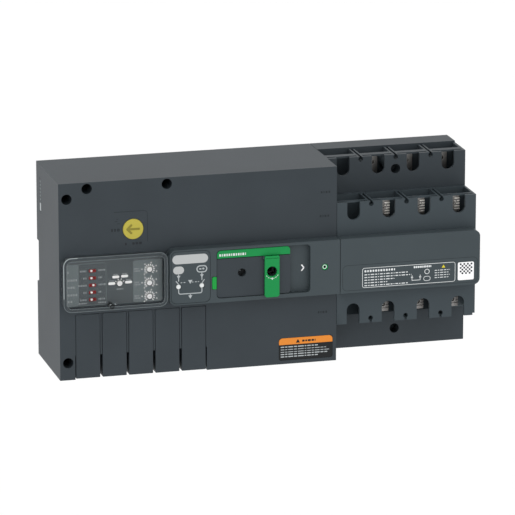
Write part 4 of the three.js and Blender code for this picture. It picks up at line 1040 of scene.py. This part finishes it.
def padlock_bar():
    """A flap with a round hole for the handle, a tongue behind it and sockets for its pins."""
    top, face, radius, socket = BAR.top, BAR.front, HANDLE_RADIUS, 0.85
    return carve(
        slab(outline_of(BAR, (2.2, 2.2, 0.8, 0.8)), BAR_BACK, face),
        ("add", rod_across(BAR_PIVOT_D, BAR_PIVOT_Z, 1.1, BAR.left, BAR.right)),
        ("add", beam(SPINDLE_X, TONGUE_HALF, BAR.back, face - 1, 66.5, 69.5)),
        *cuts(
            tipped_rod(SPINDLE_X, AXIS_Z, radius, radius + 0.4, FACE, face - 0.4, face + 0.001, 64),
            rod_across(BAR_PIVOT_D, BAR_PIVOT_Z, socket, BAR.left - 0.5, BAR.left + 2.5),
            rod_across(BAR_PIVOT_D, BAR_PIVOT_Z, socket, BAR.right - 2.5, BAR.right + 0.5),
            block(BAR.left + 0.9, BAR.right - 0.9, face - 0.5, face + 1, top - 2.2, top - 1.7),
        ),
    )


def bar_print():
    """A dashed arc under the handle's hole with a mark at its middle."""
    radius, dash = 5.8, 13
    dashes = [curve(SPINDLE_X, AXIS_Z, radius, 0.4, start, start + dash, 4) for start in range(212, 328, 21)]
    dashes.append(line(SPINDLE_X, AXIS_Z - radius - 1.2, SPINDLE_X, AXIS_Z - radius + 0.8, 0.6))
    return raised(BAR.front, 0.04, *dashes)


def latch():
    inner = rounded(LATCH.left + 0.6, LATCH.right - 0.6, LATCH.bottom + 3, LATCH.top - 3, 0.3)
    return join(slab(outline_of(LATCH, (1, 0.2, 0.2, 1)), 89, LATCH.front), slab(inner, LATCH.back, 90))


def bush():
    return cut(rod_front(BUSH.x, BUSH.z, 2.5, BUSH.back, BUSH.front),
               rod_front(BUSH.x, BUSH.z, 1.1, BUSH.back - 1, BUSH.front + 1, 32))


def bush_print():
    x, z = BUSH.x - 0.2, BUSH.z + 0.2
    return ring(circle(x, z, 1.75, 40), circle(x, z, 1.2, 40), BUSH.front - PRINT_SINK, BUSH.front + 0.05)


def flag_mark():
    return raised(FLAG.front, 0.06, *(rounded(FLAG_X + x, FLAG_X + x + w, AXIS_Z + z, AXIS_Z + z + h, 0.15, 3)
                                      for x, z, w, h in FLAG_MARKS))


def slide_mark():
    """A chevron that points right, as two strokes of slightly different heights."""
    tip_z = AXIS_Z - 0.5
    return merged(raised(POCKET_FACE, 0.06, line(CHEVRON_LEFT, AXIS_Z + 2.1, CHEVRON_TIP, tip_z, 1)),
                  raised(POCKET_FACE, 0.08, line(CHEVRON_LEFT, AXIS_Z - 3.1, CHEVRON_TIP, tip_z, 1)))


piece("shutter_slide", shutter(), "shutter", "housing_plastic", ["shutter"], 0.15)
piece("shutter_band", plate(HEADER, (0.1, 0.1, 3, 3)), "shutter", "green_plastic", ["shutter_header"], 0.12)
mark("shutter_band_print", bars(words(HEADER.left + 1.8, HEADER.left + 24, HEADER.bottom + 1.6, 2.1,
     (1.3, 0.8, 1.5, 1), 0.8), HEADER.front, 0.05), "print_white", "shutter")
piece("padlock_flap", padlock_bar(), "padlock_bar", "green_plastic", ["padlock_bar"])
mark("padlock_flap_print", bar_print(), "print_white", "padlock_bar")
piece("latch_key", latch(), "release_latch", "green_bright", ["release_latch"])
piece("seal_ring", bush(), ROOT, "green_plastic", ["seal_bush"], 0.12)
mark("seal_ring_print", bush_print(), "print_white")
mark("flag_mark", flag_mark(), "print_soft", "drive_link")
mark("slide_mark", slide_mark(), "label_pale")


# ---- Switch body ----

SLOT_WIDTH, SLOT_LENGTH, SLOT_DEPTH = 10.9, 19, 3.5
CHAMBER_WIDTH, CHAMBER_WALL = 25.4, 2.7
ROOF_GAP, ROOF_THICKNESS = 2.5, 1.5
KEYHOLE_RADIUS, KEYHOLE_DEPTH, SLIT_HALF = 2, 8, 1
MOUNT_X, MOUNT_HEIGHTS = 291.3, (14.4, 150.8)
CONDUCTOR_GAP = 4.3
BLADE_SPACE, CONTACT = 3.4, 3.6


def barrier_tools(z, edge, back, face):
    """A keyhole at height z between each two poles, with a slit from it to the edge."""
    low, high = (z, edge + 1) if edge > z else (edge - 1, z)
    tools = []
    for x in (pole - POLE_PITCH / 2 for pole in POLES[1:]):
        tools.append(rod_front(x, z, KEYHOLE_RADIUS, face - KEYHOLE_DEPTH, face + 1, 32))
        tools.append(beam(x, SLIT_HALF, back, face + 1, low, high))
    return tools


def chamber_tools(back, front, bottom, top):
    return [beam(x, CHAMBER_WIDTH / 2, back, front, bottom, top) for x in POLES]


def roof_parts(front, depth, top):
    """The strips that cover each chamber, with a narrow gap behind its front wall."""
    half, bottom = CHAMBER_WIDTH / 2 + 1, top - ROOF_THICKNESS
    return [beam(x, half, front - depth, front - ROOF_GAP, bottom, top) for x in POLES]


def conductor_tools(d, z0, z1):
    return [beam(x, CONDUCTOR_GAP, d - GAP, d + CONTACT + GAP, z0, z1) for x in LUG_POLES]


def slot_tools(round_end, up, face):
    slots = (wire_slot(x, round_end, SLOT_WIDTH, SLOT_LENGTH, up) for x in POLES)
    return [slab(slot, face - SLOT_DEPTH, face + 1) for slot in slots]


def bearing(right, d):
    """The block inside the right wall that holds the end of a shaft."""
    return block(right - 4, right + 1, d - 6, d + 6, AXIS_Z - 6, AXIS_Z + 6)


def switch_base():
    left, right, bottom, top, front = BASE.left, BASE.right, BASE.bottom, BASE.top, BASE.front
    inner_left, inner_right, lip = left + WALL, right - WALL, top - 1.2
    chamber_back, chamber_front, chamber_bottom = 22, front - CHAMBER_WALL, 134
    ceiling = chamber_bottom - WALL
    return carve(
        block(left, right, 0, front, bottom, top),
        *cuts(
            block(inner_left, inner_right, WALL, front - WALL, bottom + WALL, RAIL_BOTTOM - WALL),
            block(inner_left, inner_right, RAIL_DEPTH + WALL, front - WALL, bottom + WALL, ceiling),
            block(inner_left, inner_right, WALL, front - WALL, RAIL_TOP + WALL, ceiling),
            block(inner_left, inner_right, front - WALL - 1, front + 1, 36, 129),
            *chamber_tools(chamber_back, chamber_front, chamber_bottom, top + 1),
        ),
        *adds(
            bearing(inner_right, SOURCE_1_D),
            *(rod_front(MOUNT_X, z, 6.2, 1, front) for z in MOUNT_HEIGHTS),
            *roof_parts(chamber_front, 9, lip),
        ),
        *cuts(
            block(left - 1, right + 1, -1, RAIL_DEPTH, RAIL_BOTTOM, RAIL_TOP),
            block(left - 1, right + 1, chamber_back, front + 1, lip, top + 1),
            *slot_tools(147.5, 1, front),
            *barrier_tools(160.6, top, chamber_back, front),
            *conductor_tools(SOURCE_1_D - BLADE_SPACE - CONTACT, ceiling - 1, chamber_bottom + 1),
            *(rod_front(MOUNT_X, z, 2.4, -1, front + 1, 32) for z in MOUNT_HEIGHTS),
            *(rod_front(MOUNT_X, z, 4, 38, front + 1, 48) for z in MOUNT_HEIGHTS),
            shaft_hole(SOURCE_1_D, left - 1, inner_left + 1),
            shaft_hole(SOURCE_1_D, inner_right - 5, inner_right),
        ),
    )


def switch_middle():
    left, right, bottom, top = MIDDLE.left, MIDDLE.right, MIDDLE.bottom, MIDDLE.top
    back, face = MIDDLE.back, MIDDLE.front
    inner_left, inner_right = left + WALL, right - WALL
    chamber_back, chamber_front, upper_floor, lower_ceiling = 55, face - CHAMBER_WALL, 105.5, 59.5
    cavity_bottom, cavity_top = lower_ceiling + WALL, upper_floor - WALL
    return carve(
        block(left, right, back, face, bottom, top),
        *cuts(
            block(inner_left, inner_right, back - 1, face + 1, cavity_bottom, cavity_top),
            *chamber_tools(chamber_back, chamber_front, upper_floor, top + 1),
            *chamber_tools(chamber_back, chamber_front, bottom - 1, lower_ceiling),
        ),
        *adds(bearing(inner_right, SOURCE_2_D), *roof_parts(chamber_front, 5, top)),
        *cuts(
            *slot_tools(118.1, 1, face),
            *slot_tools(47.4, -1, face),
            *barrier_tools(130.8, top, chamber_back, face),
            *barrier_tools(34, bottom, chamber_back, face),
            *conductor_tools(SOURCE_2_D - BLADE_SPACE - CONTACT, cavity_top - 1, upper_floor + 1),
            *conductor_tools(SOURCE_2_D + BLADE_SPACE, lower_ceiling - 1, cavity_bottom + 1),
            *(beam(x, CONDUCTOR_GAP, back - 1, chamber_back + 1, LOAD_BOTTOM - GAP, LOAD_TOP + GAP)
              for x in LUG_POLES),
            shaft_hole(SOURCE_2_D, left - 1, inner_left + 1),
            shaft_hole(SOURCE_2_D, inner_right - 5, inner_right),
            block(right - 1.9, right + 1, back - 1, face + 1, bottom - 1, bottom + 1.8),
        ),
    )


# ---- Terminals ----

LUG_HALF, LUG_SCREW = 4.2, 2.6
BAR_HALF = 4
LOAD_BOTTOM, LOAD_TOP = 50, 54


def lug(x, back, front, bottom, top, screw_z, ridges):
    """A clamp body with a sunk screw and, on some, ridges across its face."""
    screw_x, well = x - 1, LUG_SCREW - 0.7
    pitch = (top - bottom - 4) / max(ridges, 1)
    feet = [bottom + 2 + i * pitch for i in range(ridges)]
    return carve(
        beam(x, LUG_HALF, back, front, bottom, top),
        *adds(*(beam(x, LUG_HALF, front - 0.5, front + 0.9, z, z + 0.7) for z in feet)),
        ("add", rod_front(screw_x, screw_z, LUG_SCREW, front - 1, front + 1.4, 40)),
        ("cut", rod_front(screw_x, screw_z, well, front - 1.5, front + 3, 40)),
        ("add", rod_front(screw_x, screw_z, well - 0.7, front - 2, front + 0.4, 32)),
        ("cut", beam(screw_x, LUG_SCREW - 1, front - 0.5, front + 1, screw_z - 0.3, screw_z + 0.3)),
    )


def contact_bar(x, d, z0, z1):
    return beam(x, BAR_HALF, d, d + CONTACT, z0, z1)


def source_terminal(x, axis, bottom, top, front, ridges):
    back = axis - BLADE_SPACE - CONTACT
    return join(contact_bar(x, back, AXIS_Z + 8, bottom + 1),
                lug(x, back, front, bottom, top, top - 5, ridges))


def load_terminal(x):
    """One bar to both contacts of a pole, with a clamp in front."""
    rear, front, top = SOURCE_1_D + BLADE_SPACE, SOURCE_2_D + BLADE_SPACE, AXIS_Z - 8
    return join(
        beam(x, BAR_HALF, rear, front + CONTACT, LOAD_BOTTOM, LOAD_TOP),
        contact_bar(x, rear, LOAD_BOTTOM, top),
        contact_bar(x, front, LOAD_BOTTOM, top),
        lug(x, 58, 69, 35, 51, 41.5, 5),
    )


def bright_ridges(x):
    """Painted highlights on the lit edges of the ridges on a clamp of the second row."""
    bottoms = (118.4 + k * 2.2 for k in range(5))
    return merged(*(block(x - 0.4, x + LUG_HALF - 0.2, 70.8, 71.3, z, z + 1) for z in bottoms))


piece("switch_rear_body", switch_base(), ROOT, "housing_plastic", ["switch_base"])
piece("switch_front_body", switch_middle(), ROOT, "switch_plastic", ["switch_middle_body"])
for i, x in enumerate(LUG_POLES, 1):
    rear = source_terminal(x, SOURCE_1_D, 140, 158.8, 34, 0)
    front = source_terminal(x, SOURCE_2_D, 112, 130, 70, 6)
    piece(f"source_1_lug_{i}", rear, ROOT, "tinned", [f"source_1_terminal_{i}"], 0.2)
    piece(f"source_2_lug_{i}", front, ROOT, "tinned", [f"source_2_terminal_{i}"], 0.2)
    # Painted highlights: near-white strips on the ridges stand in for light caught on their edges.
    mark(f"source_2_ridges_{i}", bright_ridges(x), "ridge_highlight")
    piece(f"load_lug_{i}", load_terminal(x), ROOT, "tinned", [f"load_terminal_{i}"], 0.2)


# ---- Spring of the rail clip ----

SPRING = Span("clip_spring")
SPRING_D = (SPRING.back + SPRING.front) / 2


def clip_spring():
    """A round-wire coil, which rides whole on the clip; at rest its lower end stands on the rear plate's peg.
    """
    wire, turns, sides, steps = 0.45, 6, 10, 144
    radius = (SPRING.right - SPRING.left) / 2 - wire
    low, high = SPRING.bottom + wire, SPRING.top - wire
    rise = (high - low) / (2 * math.pi * turns * radius)
    rings = []
    for i in range(steps + 1):
        a = 2 * math.pi * turns * i / steps
        out = Vector((math.cos(a), math.sin(a), 0))
        up = out.cross(Vector((-math.sin(a), math.cos(a), rise)).normalized())
        centre = Vector((SPRING.x, -SPRING_D, low + (high - low) * i / steps)) + out * radius
        turn = [2 * math.pi * k / sides for k in range(sides)]
        rings.append([centre + (out * math.cos(t) + up * math.sin(t)) * wire for t in turn])
    return loft(rings)


spring = piece("rail_clip_spring", clip_spring(), "din_rail_clip", "steel", ["clip_spring"], 0)
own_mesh(spring)


# ---- Labels on the switch ----

LABEL_FIELD = (234, 349.6, 61.4, 83)
CODE_STEP, CODE_COLUMNS, CODE_ROWS = 1.55, 7, 6


def rating_print():
    """A thin frame, plain dashes, and a ring, an oval and a simple line drawing."""
    face, left, bottom, top = RATING.front, RATING.left + 2, RATING.bottom, RATING.top
    d0, d1 = face - PRINT_SINK, face + 0.05
    rows = words(left, left + 26, top - 3.8, 1.8, (1.6, 1.2, 1.7, 1.4), 0.8)
    for i, reach in enumerate((37, 40, 25.5, 19.5, 37)):
        rows += words(left, left + reach, top - 6.3 - i * 2.3, 0.75, (2.4, 1.2, 3.1, 1.7, 0.8), 0.8)
    rows += words(left + 42, left + 57, top - 3.2, 1.7, (1.5, 1.1, 1.6), 0.4)
    for i in range(4):
        rows += words(left + 60, left + 73 - i % 2, top - 6.6 - i * 2.05, 0.6, (2, 1.1, 2.8), 0.7)
    mark_x, ring_z, oval_z = left + 53.4, bottom + 10.3, bottom + 4.4
    ends, foot = (left + 40.6, left + 47.6), bottom + 3.6
    drawing = [line(x, foot, x, bottom + 8, 0.45) for x in ends]
    drawing += [circle(x, bottom + 6.2, 0.9, 14) for x in ends]
    return merged(
        ring(outline_of(RATING, LABEL_CORNER, -0.1), outline_of(RATING, 1.5, -0.5), d0, d1),
        bars(rows, face, 0.05),
        ring(circle(mark_x, ring_z, 2.2, 24), circle(mark_x, ring_z, 1.7, 24), d0, d1),
        ring(pill(mark_x, oval_z, 6, 4), pill(mark_x, oval_z, 5.2, 3.2), d0, d1),
        raised(face, 0.05, *drawing, line(ends[0], foot, ends[1], foot, 0.45)),
    )


def code_print():
    """An even lattice of small squares, which holds no code."""
    left, top = CODE.left + 1.6, CODE.top - 2.4
    rows = [(left + i * CODE_STEP, top - j * CODE_STEP, CODE_STEP, CODE_STEP)
            for i in range(CODE_COLUMNS) for j in range(CODE_ROWS) if (i + j) % 2 == 0]
    return bars(rows, CODE.front, 0.04)


piece("rating_label", plate(RATING, LABEL_CORNER), ROOT, "belt_plastic", ["rating_plate"], 0.06)
mark("label_field", frame_line(*LABEL_FIELD, 4, 0.3, BELT_FACE, 0.03), "faint_marks_and_groove_shade")
mark("rating_print", rating_print(), "print_white")
mark("rating_triangle", raised(RATING.front, 0.06, triangle(RATING.left + 69.5, RATING.top - 4.4, 3, 2.6)),
     "print_yellow")
piece("code_plate", plate(CODE, 1.2), ROOT, "label_pale", ["code_label"], 0.06)
mark("code_print", code_print(), "print_dark")


# ---- CAD nodes that are kept, with their materials ----

SLOTS = {s["node"]: s["material_slot"] for s in frame["record"]["subparts"]}
for name, obj in frame["nodes"].items():
    if not obj.hide_render:
        for s in obj.material_slots:
            s.material = M[SLOTS[name]]


# ---- Floor, light and camera ----

FLOOR_DROP, FLOOR_REACH = 0.5, 12
SENSOR_WIDTH, LENS, DISTANCE = 36, 316.56, 3.7172
AIM_SHIFT = Vector((-0.0018, -0.00205, 0.00095))


def plain_floor():
    z = CAD_LOW.z - FLOOR_DROP
    mesh = bpy.data.meshes.new("floor")
    corners = [(-1, -1), (1, -1), (1, 1), (-1, 1)]
    mesh.from_pydata([(x * FLOOR_REACH, y * FLOOR_REACH, z) for x, y in corners], [], [(0, 1, 2, 3)])
    mesh.materials.append(surface("floor_paint", srgb(252, 252, 252), roughness=0.9, variation=0.005, bump=0))
    return mesh


def direction(azimuth, elevation):
    """Away from the object at an azimuth (0 in front, 90 on the right) and an elevation, in degrees."""
    a, e = math.radians(azimuth), math.radians(elevation)
    return Vector((math.sin(a) * math.cos(e), -math.cos(a) * math.cos(e), math.sin(e)))


def place(name, data, away):
    """A light or camera that looks back along the direction away."""
    obj = bpy.data.objects.new(name, data)
    SCENE.collection.objects.link(obj)
    obj.rotation_euler = (-away).to_track_quat("-Z", "Y").to_euler()
    return obj


def distant_light(name, azimuth, elevation, strength, spread):
    light = bpy.data.lights.new(name, "SUN")
    light.energy = strength
    light.angle = math.radians(spread)
    place(name, light, direction(azimuth, elevation))


floor = bpy.data.objects.new("floor", plain_floor())
SCENE.collection.objects.link(floor)

world = bpy.data.worlds.new("studio")
SCENE.world = world
world.use_nodes = True
world.node_tree.nodes["Background"].inputs["Color"].default_value = (1, 1, 1, 1)
world.node_tree.nodes["Background"].inputs["Strength"].default_value = 1.0
distant_light("top_rear", 180, 60, 0.05, 30)
distant_light("left_rear", -125, 15, 0.1, 40)
distant_light("front_right", 25, 25, 0.16, 40)

away = direction(-15, 15)
camera = place("camera", bpy.data.cameras.new("camera"), away)
camera.location = (CAD_LOW + CAD_HIGH) / 2 + AIM_SHIFT + away * DISTANCE
camera.data.sensor_width = SENSOR_WIDTH
camera.data.lens = LENS
camera.data.clip_start, camera.data.clip_end = 0.1, 60
SCENE.camera = camera
SCENE.view_settings.view_transform = "Standard"
